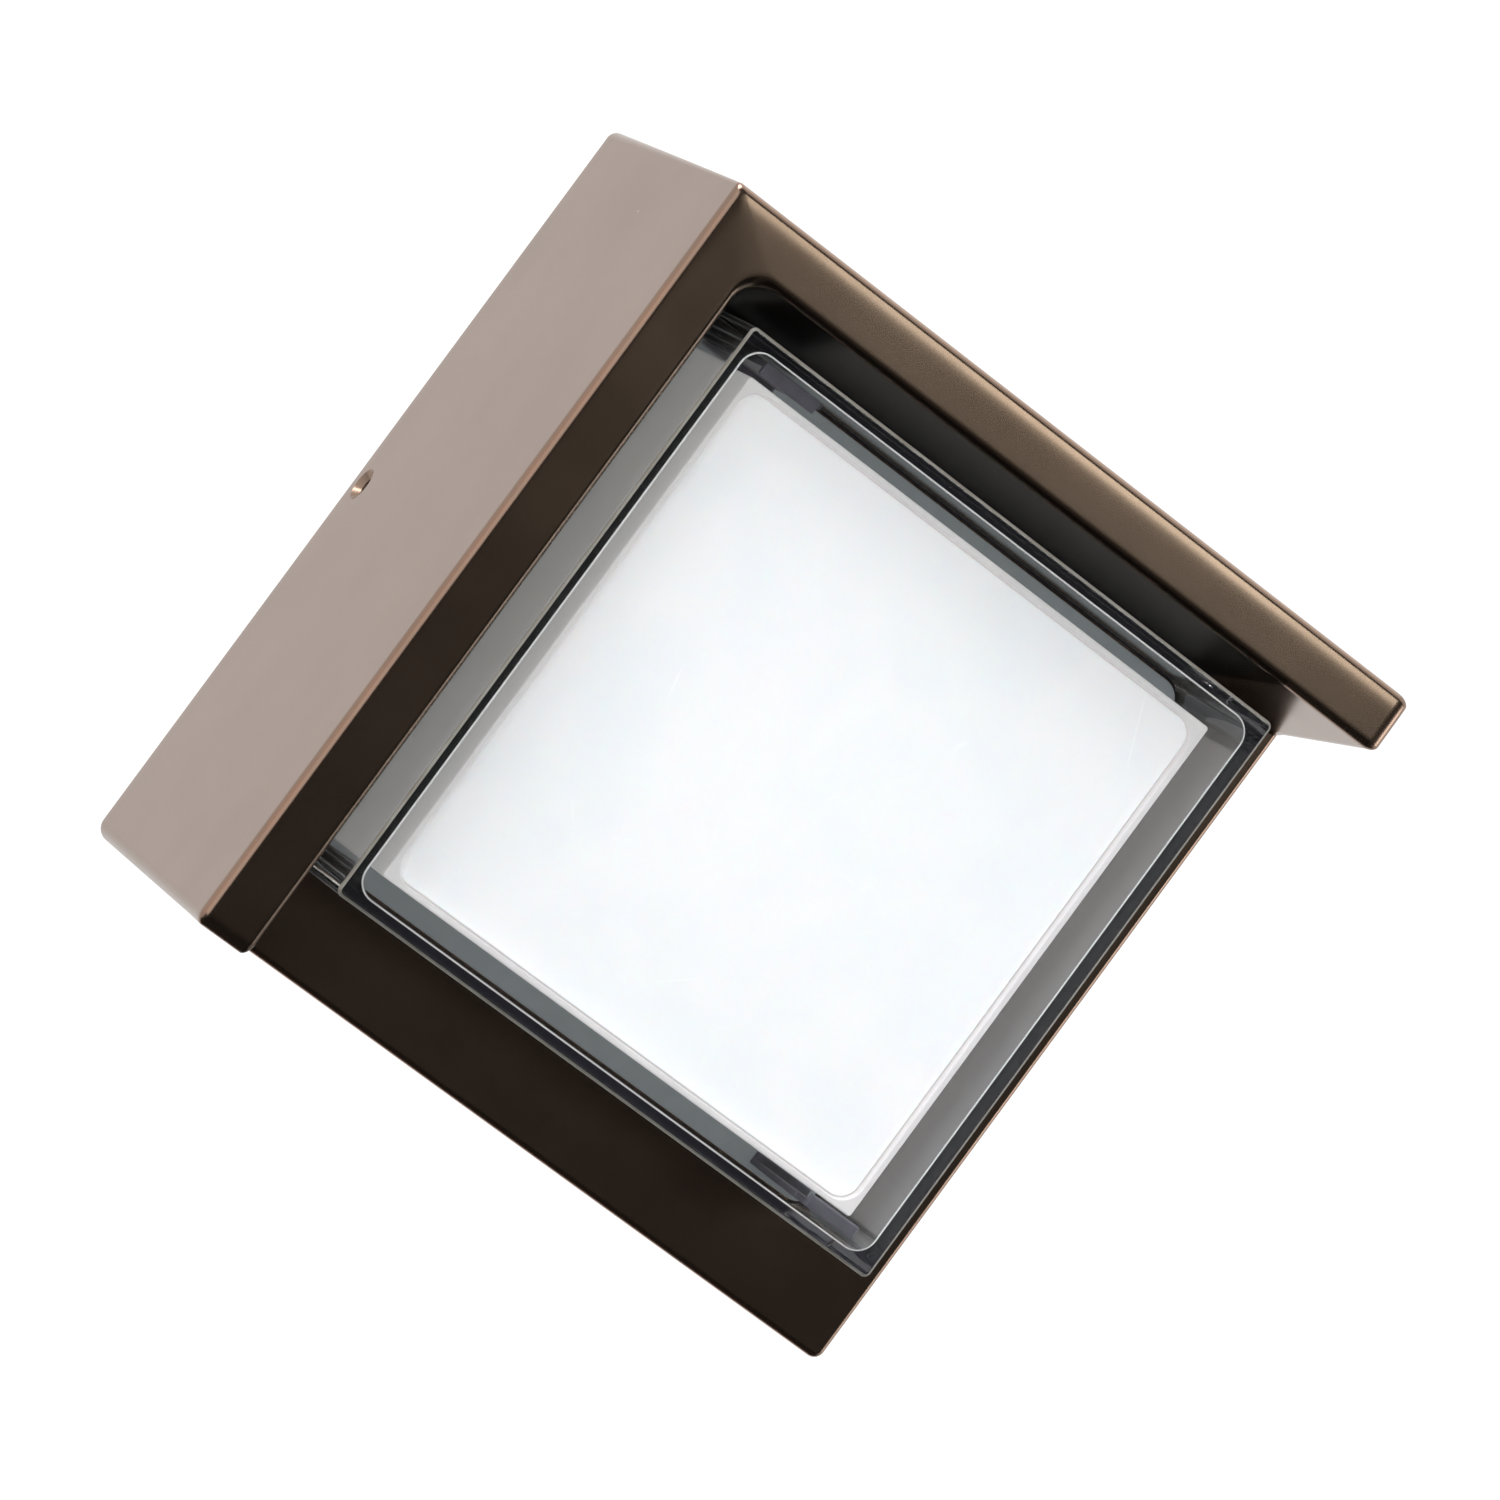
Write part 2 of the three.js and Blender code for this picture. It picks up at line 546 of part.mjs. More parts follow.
add("dc_lead_negative", dcLead(-1), 0x151515, 0.6, 0);
add("earth_screw", panScrewFromBehind(52, -48, BAY_Y + GAP, BAY_Y - 2.6, 1.3, 3.4, 2), 0x3f8f4a, 0.35, 0.9);

export default group;
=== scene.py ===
import math

import bmesh
import bpy
from mathutils import Matrix, Vector


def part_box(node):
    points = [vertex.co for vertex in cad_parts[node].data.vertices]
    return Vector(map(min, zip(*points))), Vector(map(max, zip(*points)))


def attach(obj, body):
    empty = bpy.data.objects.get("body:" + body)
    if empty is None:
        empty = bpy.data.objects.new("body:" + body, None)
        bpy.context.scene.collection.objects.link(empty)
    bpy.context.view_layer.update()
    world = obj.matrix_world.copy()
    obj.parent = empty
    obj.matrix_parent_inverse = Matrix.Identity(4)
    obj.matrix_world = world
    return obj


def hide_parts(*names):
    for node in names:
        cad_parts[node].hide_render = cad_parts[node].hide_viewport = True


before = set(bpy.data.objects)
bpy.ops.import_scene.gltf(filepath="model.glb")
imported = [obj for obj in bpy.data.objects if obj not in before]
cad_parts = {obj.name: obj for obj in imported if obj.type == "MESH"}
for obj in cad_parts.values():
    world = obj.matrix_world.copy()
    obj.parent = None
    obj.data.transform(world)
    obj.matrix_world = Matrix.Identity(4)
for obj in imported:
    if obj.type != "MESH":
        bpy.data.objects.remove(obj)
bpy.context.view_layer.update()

MM = 0.001
QUARTER = math.pi / 2


def box_mm(node):
    """Lowest and highest corner of a CAD node, in millimetres."""
    low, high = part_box(node)
    return low / MM, high / MM


def middle(node):
    """Centre (x, z) of a CAD node, in millimetres."""
    low, high = box_mm(node)
    return (low.x + high.x) / 2, (low.z + high.z) / 2


# --- sizes ---

HOUSING = box_mm("housing")
HALF = HOUSING[1].x
FRONT_Y = HOUSING[0].y
BACK_Y = HOUSING[1].y
LENS = box_mm("lens_cover")
LENS_ROOT_HALF = LENS[1].x
LENS_HALF = LENS_ROOT_HALF - 0.2
SPREADER = box_mm("heat_spreader")
TRAY = box_mm("reflector_tray")
PANEL = box_mm("diffuser_panel")
BOARD = box_mm("led_board")
PLATE = box_mm("wall_plate")
FACE_Y = SPREADER[1].y + 0.3
BAY_Y = FACE_Y + 4.3

# Casting: outline, edge and end radii, the hood's rim and root, the lean of the top rim's front, wall.
OUTLINE_R = 2.0
EDGE_R = 1.5
END_R = 2.7
FACE_EDGE_R = 1.2
RIM_W = 10.8
ROOT_W = 16.1
RIM_FILLET = 1.6
RIM_CORNER_R = 5.5
RIM_TILT = 0.18
CROWN = 0.1
CROWN_POWER = 9
HOOD_CORNER_R = 0.9
ROOT_CORNER_R = 2
WALL_T = 3.6

# Lens, holes and screws.
LENS_T = 2.2
LENS_INNER_R = 4
LENS_OUTER_R = 1.2
SET_SCREW_Y = (box_mm("set_screw_left")[0].y + box_mm("set_screw_left")[1].y) / 2
SCREW_BORE_R = 2.05
COUNTERSINK_R = 3.15
SUPPLY = {"x": 0, "z": -19, "r": 11}
LEAD = {"x": 25.5, "z": -8.5, "r": 4.2}
LED_PITCH = 17
LED_SCREW_AT = 40
LED_SCREWS = [(i * LED_SCREW_AT, k * LED_SCREW_AT) for i in (-1, 1) for k in (-1, 1)]
TAP_R = 1.3
CLEARANCE_R = 1.8

# The studio, in metres.
FLOOR_Z = -1.9
SOFTBOX_DISTANCE = 1.8


# --- mesh helpers ---

def linked(name, data):
    """New object in the scene."""
    obj = bpy.data.objects.new(name, data)
    bpy.context.scene.collection.objects.link(obj)
    return obj


def new_object(name, bm):
    """Object from a bmesh whose coordinates are in millimetres."""
    bmesh.ops.remove_doubles(bm, verts=bm.verts, dist=1e-4)
    bmesh.ops.recalc_face_normals(bm, faces=bm.faces)
    bmesh.ops.scale(bm, vec=(MM,) * 3, verts=bm.verts)
    mesh = bpy.data.meshes.new(name)
    bm.to_mesh(mesh)
    bm.free()
    return linked(name, mesh)


def bridge(bm, a, b, closed=True):
    """Quads between two rows of vertices, back round to the start if they are closed."""
    for i in range(len(a) if closed else len(a) - 1):
        j = (i + 1) % len(a)
        bm.faces.new((a[i], a[j], b[j], b[i]))


def skin(name, rings, closed=False):
    """Closed surface through rings of points: capped at both ends, or joined last to first."""
    bm = bmesh.new()
    rows = [[bm.verts.new(p) for p in ring] for ring in rings]
    pairs = list(zip(rows, rows[1:])) + ([(rows[-1], rows[0])] if closed else [])
    for a, b in pairs:
        bridge(bm, a, b)
    if not closed:
        bm.faces.new(rows[0][::-1])
        bm.faces.new(rows[-1])
    return new_object(name, bm)


def rectangle(x0, x1, z0, z1, r, steps=8):
    """Corner-rounded rectangle as (x, z) points, counter-clockwise from the low-x, low-z corner."""
    corners = ((x0 + r, z0 + r, 2), (x1 - r, z0 + r, 3), (x1 - r, z1 - r, 0), (x0 + r, z1 - r, 1))
    points = []
    for cx, cz, quarter in corners:
        for k in range(steps + 1):
            a = QUARTER * (quarter + k / steps)
            points.append((cx + r * math.cos(a), cz + r * math.sin(a)))
    return points


def square_ring(half, y, r):
    return [(x, y, z) for x, z in rectangle(-half, half, -half, half, max(r, 0.02))]


def rounded_profile(points, steps):
    """Profile (w, y, outline radius, fillet radius) with its corners replaced by arcs.

    The outline radius of an arc's points follows w, so that a fillet keeps the same size round a corner."""
    out = []
    for i, (w, y, r, fillet) in enumerate(points):
        if fillet <= 0 or i in (0, len(points) - 1):
            out.append((w, y, r))
            continue
        here = Vector((w, y))
        into = (Vector(points[i - 1][:2]) - here).normalized()
        away = (Vector(points[i + 1][:2]) - here).normalized()
        half_angle = into.angle(away) / 2
        reach = fillet / math.tan(half_angle)
        centre = here + (into + away).normalized() * (fillet / math.sin(half_angle))
        start = here + into * reach - centre
        turn = (here + away * reach - centre).angle_signed(start)
        for k in range(steps + 1):
            p = centre + Matrix.Rotation(turn * k / steps, 2) @ start
            out.append((p.x, p.y, r + (p.x - w)))
    return out


def square_loft(name, profile, closed=False, steps=6):
    """Square part from a profile of (half width, y, outline radius, fillet radius)."""
    rings = [square_ring(w, y, r) for w, y, r in rounded_profile(profile, steps)]
    return skin(name, rings, closed)


def slab(name, outline, y0, y1, edge=0.2):
    """Plate with a rounded edge from an (x, z) outline; the edge is inset along the outline's normals."""
    rings = []
    middle = outline_normals(outline)
    for y, sign in ((y0, 1), (y1, -1)):
        arc = []
        for k in range(4):
            a = QUARTER * k / 3
            inset = edge * (1 - math.sin(a))
            arc.append([(x - nx * inset, y + sign * edge * (1 - math.cos(a)), z - nz * inset)
                        for (x, z), (nx, nz) in zip(outline, middle)])
        rings += arc if sign > 0 else arc[::-1]
    return skin(name, rings)


def outline_normals(outline):
    """Outward unit normals of a counter-clockwise (x, z) outline, mitred at its corners."""
    normals = []
    n = len(outline)
    for i in range(n):
        before = Vector(outline[i]) - Vector(outline[i - 1])
        after = Vector(outline[(i + 1) % n]) - Vector(outline[i])
        a = Vector((before.y, -before.x)).normalized()
        b = Vector((after.y, -after.x)).normalized()
        mean = (a + b).normalized()
        normals.append(mean / max(mean.dot(a), 0.4))
    return normals


def block(name, x0, x1, y0, y1, z0, z1, edge=0.25, segments=3):
    """Box with rounded edges."""
    bm = bmesh.new()
    bmesh.ops.create_cube(bm, size=1)
    bmesh.ops.scale(bm, vec=(x1 - x0, y1 - y0, z1 - z0), verts=bm.verts)
    bmesh.ops.translate(bm, vec=((x0 + x1) / 2, (y0 + y1) / 2, (z0 + z1) / 2), verts=bm.verts)
    if edge:
        bmesh.ops.bevel(bm, geom=bm.edges[:], offset=edge, segments=segments, profile=0.5, affect="EDGES")
    return new_object(name, bm)


def ring_round(axis, origin, along, radii):
    """Points round an axis, a distance along it from the origin, with one radius for each point."""
    direction = Vector(axis).normalized()
    side = direction.orthogonal().normalized()
    up = direction.cross(side)
    points = []
    for k, radius in enumerate(radii):
        a = 2 * math.pi * k / len(radii)
        points.append(Vector(origin) + direction * along + (side * math.cos(a) + up * math.sin(a)) * radius)
    return points


def turned(name, profile, axis, origin, sides=48, closed=False):
    """Turned part: profile of (radius, distance) along an axis from an origin."""
    rings = [ring_round(axis, origin, along, [max(radius, 0.01)] * sides) for radius, along in profile]
    return skin(name, rings, closed)


def bore(radius, depth, origin, axis=(0, 1, 0), sides=32):
    """Cylinder that cuts a round hole."""
    return turned("bore", [(radius, 0), (radius, depth)], axis, origin, sides)


def evaluated(obj):
    """Replaces an object's mesh by what its modifiers make of it."""
    bpy.context.view_layer.update()
    mesh = bpy.data.meshes.new_from_object(obj.evaluated_get(bpy.context.evaluated_depsgraph_get()))
    obj.modifiers.clear()
    obj.data = mesh
    return obj


def combine(obj, others, operation):
    """Boolean of an object with others, which are used up."""
    for other in others:
        modifier = obj.modifiers.new("combine", "BOOLEAN")
        modifier.operation = operation
        modifier.solver = "EXACT"
        modifier.object = other
    evaluated(obj)
    for other in others:
        bpy.data.objects.remove(other)
    return obj


def cut(obj, *cutters):
    return combine(obj, cutters, "DIFFERENCE")


def fuse(obj, *others):
    return combine(obj, others, "UNION")


def led_screw_holes(radius, y, depth, sides=32):
    """Cutters for the four screws that hold board, tray and spreader to the casting."""
    return [bore(radius, depth, (x, y, z), sides=sides) for x, z in LED_SCREWS]


def lead_hole(y, depth):
    """Cutter for the way of the LED board's leads."""
    return bore(LEAD["r"], depth, (LEAD["x"], y, LEAD["z"]), sides=48)


def soften(obj, width):
    """Small bevel on the sharp edges that a cut leaves."""
    modifier = obj.modifiers.new("soften", "BEVEL")
    modifier.width = width * MM
    modifier.segments = 2
    modifier.limit_method = "ANGLE"
    modifier.angle_limit = math.radians(40)
    modifier.use_clamp_overlap = True
    return evaluated(obj)


def shade(obj, angle=32):
    """Smooth shading that keeps flat faces flat and edges over the angle sharp."""
    obj.data.polygons.foreach_set("use_smooth", [True] * len(obj.data.polygons))
    obj.data.set_sharp_from_angle(angle=math.radians(angle))
    modifier = obj.modifiers.new("weights", "WEIGHTED_NORMAL")
    modifier.keep_sharp = True
    modifier.weight = 90


def mark_wear_and_highlight(obj, edges, reach):
    """Point attribute that has its given strength on each edge line (mm) and fades over a reach."""
    layer = obj.data.attributes.new("wear_and_highlight", "FLOAT", "POINT")
    lines = [(Vector(a), Vector(b), strength) for a, b, strength in edges]
    for i, vertex in enumerate(obj.data.vertices):
        p = vertex.co / MM
        value = 0
        for a, b, strength in lines:
            along = max(0, min(1, (p - a).dot(b - a) / (b - a).length_squared))
            value = max(value, strength * (1 - (p - a - (b - a) * along).length / reach))
        layer.data[i].value = value


def finish_piece(obj, look, nodes=(), angle=32, body="light"):
    """Shading, materials and body of a piece, and the CAD nodes that it stands for."""
    shade(obj, angle)
    for name in (look,) if isinstance(look, str) else look:
        obj.data.materials.append(LOOKS[name])
    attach(obj, body)
    if nodes:
        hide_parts(*nodes)


# --- looks ---

class Look:
    """A Principled material built from a few node steps; all patterns use object coordinates in metres."""

    def __init__(self, name, **sockets):
        self.material = bpy.data.materials.new(name)
        self.material.use_nodes = True
        self.tree = self.material.node_tree
        self.shader = self.tree.nodes["Principled BSDF"]
        for socket, value in sockets.items():
            self.feed(self.shader.inputs[socket.replace("_", " ")], value)
        self.place = self.add("ShaderNodeTexCoord").outputs["Object"]
        self.bumps = None

    def add(self, kind, inputs=(), **settings):
        """New node with its settings, and its inputs as a dict of values or of sockets to link."""
        node = self.tree.nodes.new(kind)
        for key, value in settings.items():
            setattr(node, key, value)
        for socket, value in dict(inputs).items():
            self.feed(node.inputs[socket], value)
        return node

    def feed(self, socket, value):
        """Links an input to an output, or sets it to a value; colours come without alpha."""
        if isinstance(value, bpy.types.NodeSocket):
            self.tree.links.new(value, socket)
        else:
            socket.default_value = (*value, 1) if socket.type == "RGBA" else value

    def stretched(self, scale):
        """Object coordinates scaled along each axis, which draws a pattern out."""
        return self.add("ShaderNodeMapping", {"Vector": self.place, "Scale": scale}).outputs["Vector"]

    def noise(self, size, detail=3.0, rough=0.5, place=None, distortion=0.0):
        """Noise whose features are about size millimetres wide."""
        inputs = {"Vector": place or self.place, "Scale": 1 / (size * MM), "Detail": detail,
                  "Roughness": rough, "Distortion": distortion}
        return self.add("ShaderNodeTexNoise", inputs).outputs["Fac"]

    def cells(self, size, feature="F1", output="Color", place=None):
        inputs = {"Vector": place or self.place, "Scale": 1 / (size * MM)}
        return self.add("ShaderNodeTexVoronoi", inputs, feature=feature).outputs[output]

    def remap(self, value, low, high, to_low=0.0, to_high=1.0):
        inputs = {"Value": value, "From Min": low, "From Max": high, "To Min": to_low, "To Max": to_high}
        return self.add("ShaderNodeMapRange", inputs, clamp=True).outputs["Result"]

    def maths(self, operation, a, b):
        return self.add("ShaderNodeMath", {0: a, 1: b}, operation=operation).outputs[0]

    def mix(self, factor, a, b):
        node = self.add("ShaderNodeMix", {"Factor": factor}, data_type="RGBA")
        for socket, colour in zip([s for s in node.inputs if s.type == "RGBA"], (a, b)):
            self.feed(socket, colour)
        return [s for s in node.outputs if s.type == "RGBA"][0]

    def attribute(self, name):
        return self.add("ShaderNodeAttribute", attribute_name=name).outputs["Fac"]

    def bump(self, height, depth, strength):
        """Adds relief depth millimetres deep; several calls stack."""
        node = self.add("ShaderNodeBump", {"Strength": strength, "Distance": depth * MM, "Height": height})
        if self.bumps:
            self.tree.links.new(self.bumps, node.inputs["Normal"])
        self.bumps = node.outputs["Normal"]
        self.tree.links.new(self.bumps, self.shader.inputs["Normal"])

    def done(self, colour, roughness, height, depth, strength):
        """The material, with its colour and roughness fed and a last relief."""
        self.feed(self.shader.inputs["Base Color"], colour)
        self.feed(self.shader.inputs["Roughness"], roughness)
        self.bump(height, depth, strength)
        return self.material


def srgb(*values):
    """Linear colour from sRGB values of 0 to 255."""
    return tuple((v / 255 / 12.92) if v <= 10 else ((v / 255 + 0.055) / 1.055) ** 2.4 for v in values)


def bronze_coat(name, dark, light, grazing=1.0):
    """Powder coat with fine metal flake and copper on its edges: partly coat rubbed through, partly a
    painted highlight along the fillets.
    """
    look = Look(name, Metallic=1, Specular_Tint=[grazing] * 3)
    broad = look.noise(34, 4, 0.55)
    grain = look.noise(0.9, 1)
    flake = look.cells(0.6)
    base = look.mix(look.remap(broad, 0.1, 0.9), dark, light)
    base = look.mix(look.remap(flake, 0.6, 1.0, 0, 0.07), base, srgb(176, 152, 134))
    worn_and_highlit = look.maths("MULTIPLY", look.attribute("wear_and_highlight"), look.remap(look.noise(5, 4), 0.34, 0.6, 0.6, 1))
    # Copper on the edges: partly coat rubbed through, partly a painted highlight along the fillets.
    base = look.mix(look.remap(worn_and_highlit, 0.15, 0.7), base, srgb(154, 115, 97))
    dust = look.remap(look.cells(16, "F1", "Distance"), 0.008, 0.014, 0.7, 0)
    base = look.mix(dust, base, srgb(214, 206, 196))
    # The roughness stays below 0.27: a map that crosses 0.274 draws its contours in a denoised render.
    rough = look.remap(look.noise(14, 3, 0.5), 0.2, 0.8, 0.23, 0.268)
    rough = look.maths("SUBTRACT", rough, look.maths("MULTIPLY", worn_and_highlit, 0.03))
    look.bump(grain, 0.005, 0.1)
    return look.done(base, rough, look.noise(5, 1), 0.03, 0.05)


def through_lamps(look):
    """Lets lamp light straight through, as a thin clear wall does."""
    shadow = look.add("ShaderNodeLightPath").outputs["Is Shadow Ray"]
    clear = look.add("ShaderNodeBsdfTransparent", {"Color": (0.9, 0.92, 0.93)})
    mix = look.add("ShaderNodeMixShader", {0: shadow, 1: look.shader.outputs[0], 2: clear.outputs[0]})
    look.feed(look.tree.nodes["Material Output"].inputs["Surface"], mix.outputs[0])


def clear_lens(name, transmission=1.0, haze=0.0):
    """Clear polycarbonate with hairline scratches; haze is the least roughness."""
    look = Look(name, IOR=1.57, Transmission_Weight=transmission)
    haze_map = look.remap(look.noise(22, 3), 0.3, 0.7)
    tone = look.mix(haze_map, (0.965, 0.97, 0.985), (0.985, 0.985, 0.99))
    hair = look.cells(9, "DISTANCE_TO_EDGE", "Distance", look.stretched((1, 1, 0.16)))
    scratch = look.remap(hair, 0.0, 0.003, 1, 0)
    rough = look.remap(look.noise(6, 4), 0.45, 0.8, haze, haze * 1.5 + 0.02)
    rough = look.maths("ADD", rough, look.maths("MULTIPLY", scratch, 0.05))
    through_lamps(look)
    return look.done(tone, rough, look.noise(40, 1), 0.01, 0.05)


def edge_highlight_paint(name, transmission, dark, light):
    """Pale, nearly opaque plastic on the lens's slanted edge faces: painted highlight lines along the lens's
    edges.
    """
    look = Look(name, IOR=1.57, Transmission_Weight=transmission)
    tone = look.mix(look.remap(look.noise(6, 3), 0.3, 0.7), dark, light)
    rough = look.remap(look.noise(3, 3), 0.3, 0.7, 0.3, 0.45)
    return look.done(tone, rough, look.noise(0.5, 2), 0.01, 0.2)


def plastic(name, dark, light, patch, rough=(0.4, 0.5), grain=0.3, depth=0.02, speck=0.0, **sockets):
    """Moulded plastic or rubber: patchy tone, fine grain, a few specks of dust."""
    look = Look(name, **sockets)
    tone = look.mix(look.remap(look.noise(patch, 4, 0.6), 0.3, 0.7), dark, light)
    if speck:
        dust = look.remap(look.cells(1.1, output="Distance"), 0.0, 0.07, speck, 0)
        tone = look.mix(dust, tone, tuple(0.45 * v for v in dark))
    rough_map = look.remap(look.noise(patch / 4, 3), 0.3, 0.7, *rough)
    return look.done(tone, rough_map, look.noise(grain, 2), depth, 0.35)


def sheet_metal(name, dark, light, patch, rough, brush=(1, 1, 1), metallic=1.0, painted_glow=0.0):
    """Rolled or plated metal: grain drawn out along one direction and patchy plating; painted_glow is an
    emission that paints light onto it.
    """
    look = Look(name, Metallic=metallic, Emission_Color=light, Emission_Strength=painted_glow)
    drawn = look.noise(0.5, 3, 0.6, look.stretched(brush))
    tone = look.mix(look.remap(look.noise(patch, 5, 0.6, distortion=0.6), 0.3, 0.7), dark, light)
    worn_and_highlit = look.maths("MULTIPLY", look.attribute("wear_and_highlight"), look.remap(look.noise(1.5), 0.35, 0.6))
    tone = look.mix(worn_and_highlit, tone, tuple(min(1, 1.35 * v) for v in light))
    tone = look.mix(look.remap(drawn, 0.3, 0.7, 0, 0.3), tone, dark)
    rough_map = look.remap(look.noise(patch / 3, 4), 0.3, 0.7, *rough)
    return look.done(tone, rough_map, drawn, 0.02, 0.4)


def circuit_board():
    """White solder resist with copper tracks just visible under it."""
    look = Look("board")
    inputs = {"Vector": look.stretched((1, 1, 1)), "Scale": 1 / (LED_PITCH * MM), "Mortar Size": 0.04}
    tracks = look.add("ShaderNodeTexBrick", inputs)
    shown = look.remap(tracks.outputs["Fac"], 0, 1, 0, 0.5)
    tone = look.mix(shown, srgb(236, 236, 230), srgb(205, 208, 190))
    rough = look.remap(look.noise(3), 0.3, 0.7, 0.35, 0.5)
    return look.done(tone, rough, look.noise(0.4, 2), 0.01, 0.3)


def opal_panel():
    """Opal acrylic: milky, softly glossy, with clouds of dust and hairline scratches; its emission paints
    light on it, as the LEDs behind it are not lit.
    """
    # The emission is painted light: the panel glows, though no lamp behind it is lit.
    look = Look("opal", IOR=1.49, Subsurface_Weight=0.25, Subsurface_Scale=0.003,
                Emission_Color=(1, 1, 1), Emission_Strength=0.17)
    cloud = look.remap(look.noise(30, 5, 0.6, distortion=0.5), 0.42, 0.62)
    tone = look.mix(cloud, srgb(244, 242, 243), srgb(237, 239, 241))
    hair = look.cells(11, "DISTANCE_TO_EDGE", "Distance", look.stretched((1, 1, 0.3)))
    scratch = look.maths("MULTIPLY", look.remap(hair, 0.0, 0.006, 1, 0), look.remap(look.noise(9), 0.5, 0.6))
    tone = look.mix(look.maths("MULTIPLY", scratch, 0.6), tone, (1, 1, 1))
    return look.done(tone, look.remap(cloud, 0, 1, 0.32, 0.48), look.noise(0.5, 2), 0.01, 0.15)


LOOKS = {
    "bronze": bronze_coat("bronze_coat", srgb(127, 106, 92), srgb(142, 121, 107)),
    # A darker, less reflective copy of the coat: painted shade for the hood's underside and the left rim's
    # inner edge.
    "painted_shade": bronze_coat("bronze_painted_shade", srgb(78, 68, 60), srgb(88, 77, 68), 0.6),
    "clear": clear_lens("clear_lens"),
    "pocket": clear_lens("lens_pocket", 0.93, 0.08),
    # Painted highlight lines for the lens's slanted edge faces.
    "inner_edge": edge_highlight_paint("lens_inner_edge_painted_highlight", 0.05, srgb(236, 236, 236), srgb(250, 250, 250)),
    "outer_edge": edge_highlight_paint("lens_outer_edge_painted_highlight", 0.6, srgb(196, 188, 172), srgb(226, 222, 212)),
    "opal": opal_panel(),
    # The tray's emission is painted light: it brightens the tray's sides, which sit in shade inside the
    # lens.
    "tray": plastic("tray_white", srgb(184, 178, 180), srgb(196, 191, 192), 12, (0.35, 0.5), speck=0.3,
                    Emission_Color=(0.97, 0.98, 0.94), Emission_Strength=0.29),
    # The spreader's emission is painted light on the grey floor, which shows in the shade round the tray.
    "floor": sheet_metal("grey_sheet", srgb(107, 112, 113), srgb(124, 129, 131), 7, (0.4, 0.6), (1, 1, 6),
                         metallic=0.15, painted_glow=0.45),
    "board": circuit_board(),
    "green": plastic("pcb_green", srgb(22, 84, 48), srgb(32, 104, 60), 5, (0.3, 0.4)),
    "zinc": sheet_metal("zinc_steel", srgb(166, 170, 176), srgb(196, 197, 192), 5, (0.3, 0.42), (6, 1, 1)),
    "steel": sheet_metal("screw_steel", srgb(150, 152, 156), srgb(184, 186, 190), 1.5, (0.29, 0.4)),
    "rubber": plastic("black_rubber", srgb(26, 26, 28), srgb(38, 38, 41), 4, (0.6, 0.75), 0.4, 0.05, 0.2),
    "silicone": plastic("grey_silicone", srgb(44, 42, 56), srgb(54, 52, 66), 5, (0.5, 0.6)),
    "clip": plastic("clip_plastic", srgb(78, 76, 84), srgb(92, 89, 98), 3, (0.35, 0.45)),
    "shell": plastic("driver_plastic", srgb(226, 227, 228), srgb(238, 238, 236), 10, (0.4, 0.55), 0.5, 0.04),
    "terminal": plastic("terminal_plastic", srgb(228, 222, 206), srgb(240, 236, 224), 3, (0.35, 0.45)),
    "red": plastic("lead_red", srgb(160, 24, 20), srgb(178, 36, 30), 4, (0.35, 0.5)),
    "black": plastic("lead_black", srgb(18, 18, 19), srgb(32, 32, 34), 4, (0.35, 0.5)),
    "white": plastic("lead_white", srgb(222, 222, 218), srgb(236, 236, 233), 4, (0.35, 0.5)),
    "earth": sheet_metal("earth_green", srgb(44, 128, 66), srgb(70, 160, 90), 1.2, (0.3, 0.4), metallic=0.7),
    "brass": sheet_metal("brass", srgb(190, 156, 88), srgb(214, 184, 118), 1.2, (0.29, 0.4)),
    "phosphor": plastic("phosphor", srgb(238, 206, 70), srgb(246, 220, 96), 1, (0.3, 0.4)),
    "ceramic": plastic("led_body", srgb(232, 230, 222), srgb(242, 240, 234), 1, (0.35, 0.5)),
}


# --- housing ---

def l_path(w, r, samples, arc_steps, start, end):
    """Points and outward normals along an L: up the left side, round the corner, along the top.

    w is the distance from the outer faces, r the corner radius, start and end the trimmed ends."""
    out = []
    left, top = -HALF + w, HALF - w
    for k in range(samples + 1):
        z = start + (top - r - start) * k / samples
        out.append(((left, z), (-1, 0)))
    for k in range(1, arc_steps):
        a = math.pi - QUARTER * k / arc_steps
        out.append(((left + r + r * math.cos(a), top - r + r * math.sin(a)), (math.cos(a), math.sin(a))))
    for k in range(samples + 1):
        x = left + r + (end - left - r) * k / samples
        out.append(((x, top), (0, 1)))
    return out


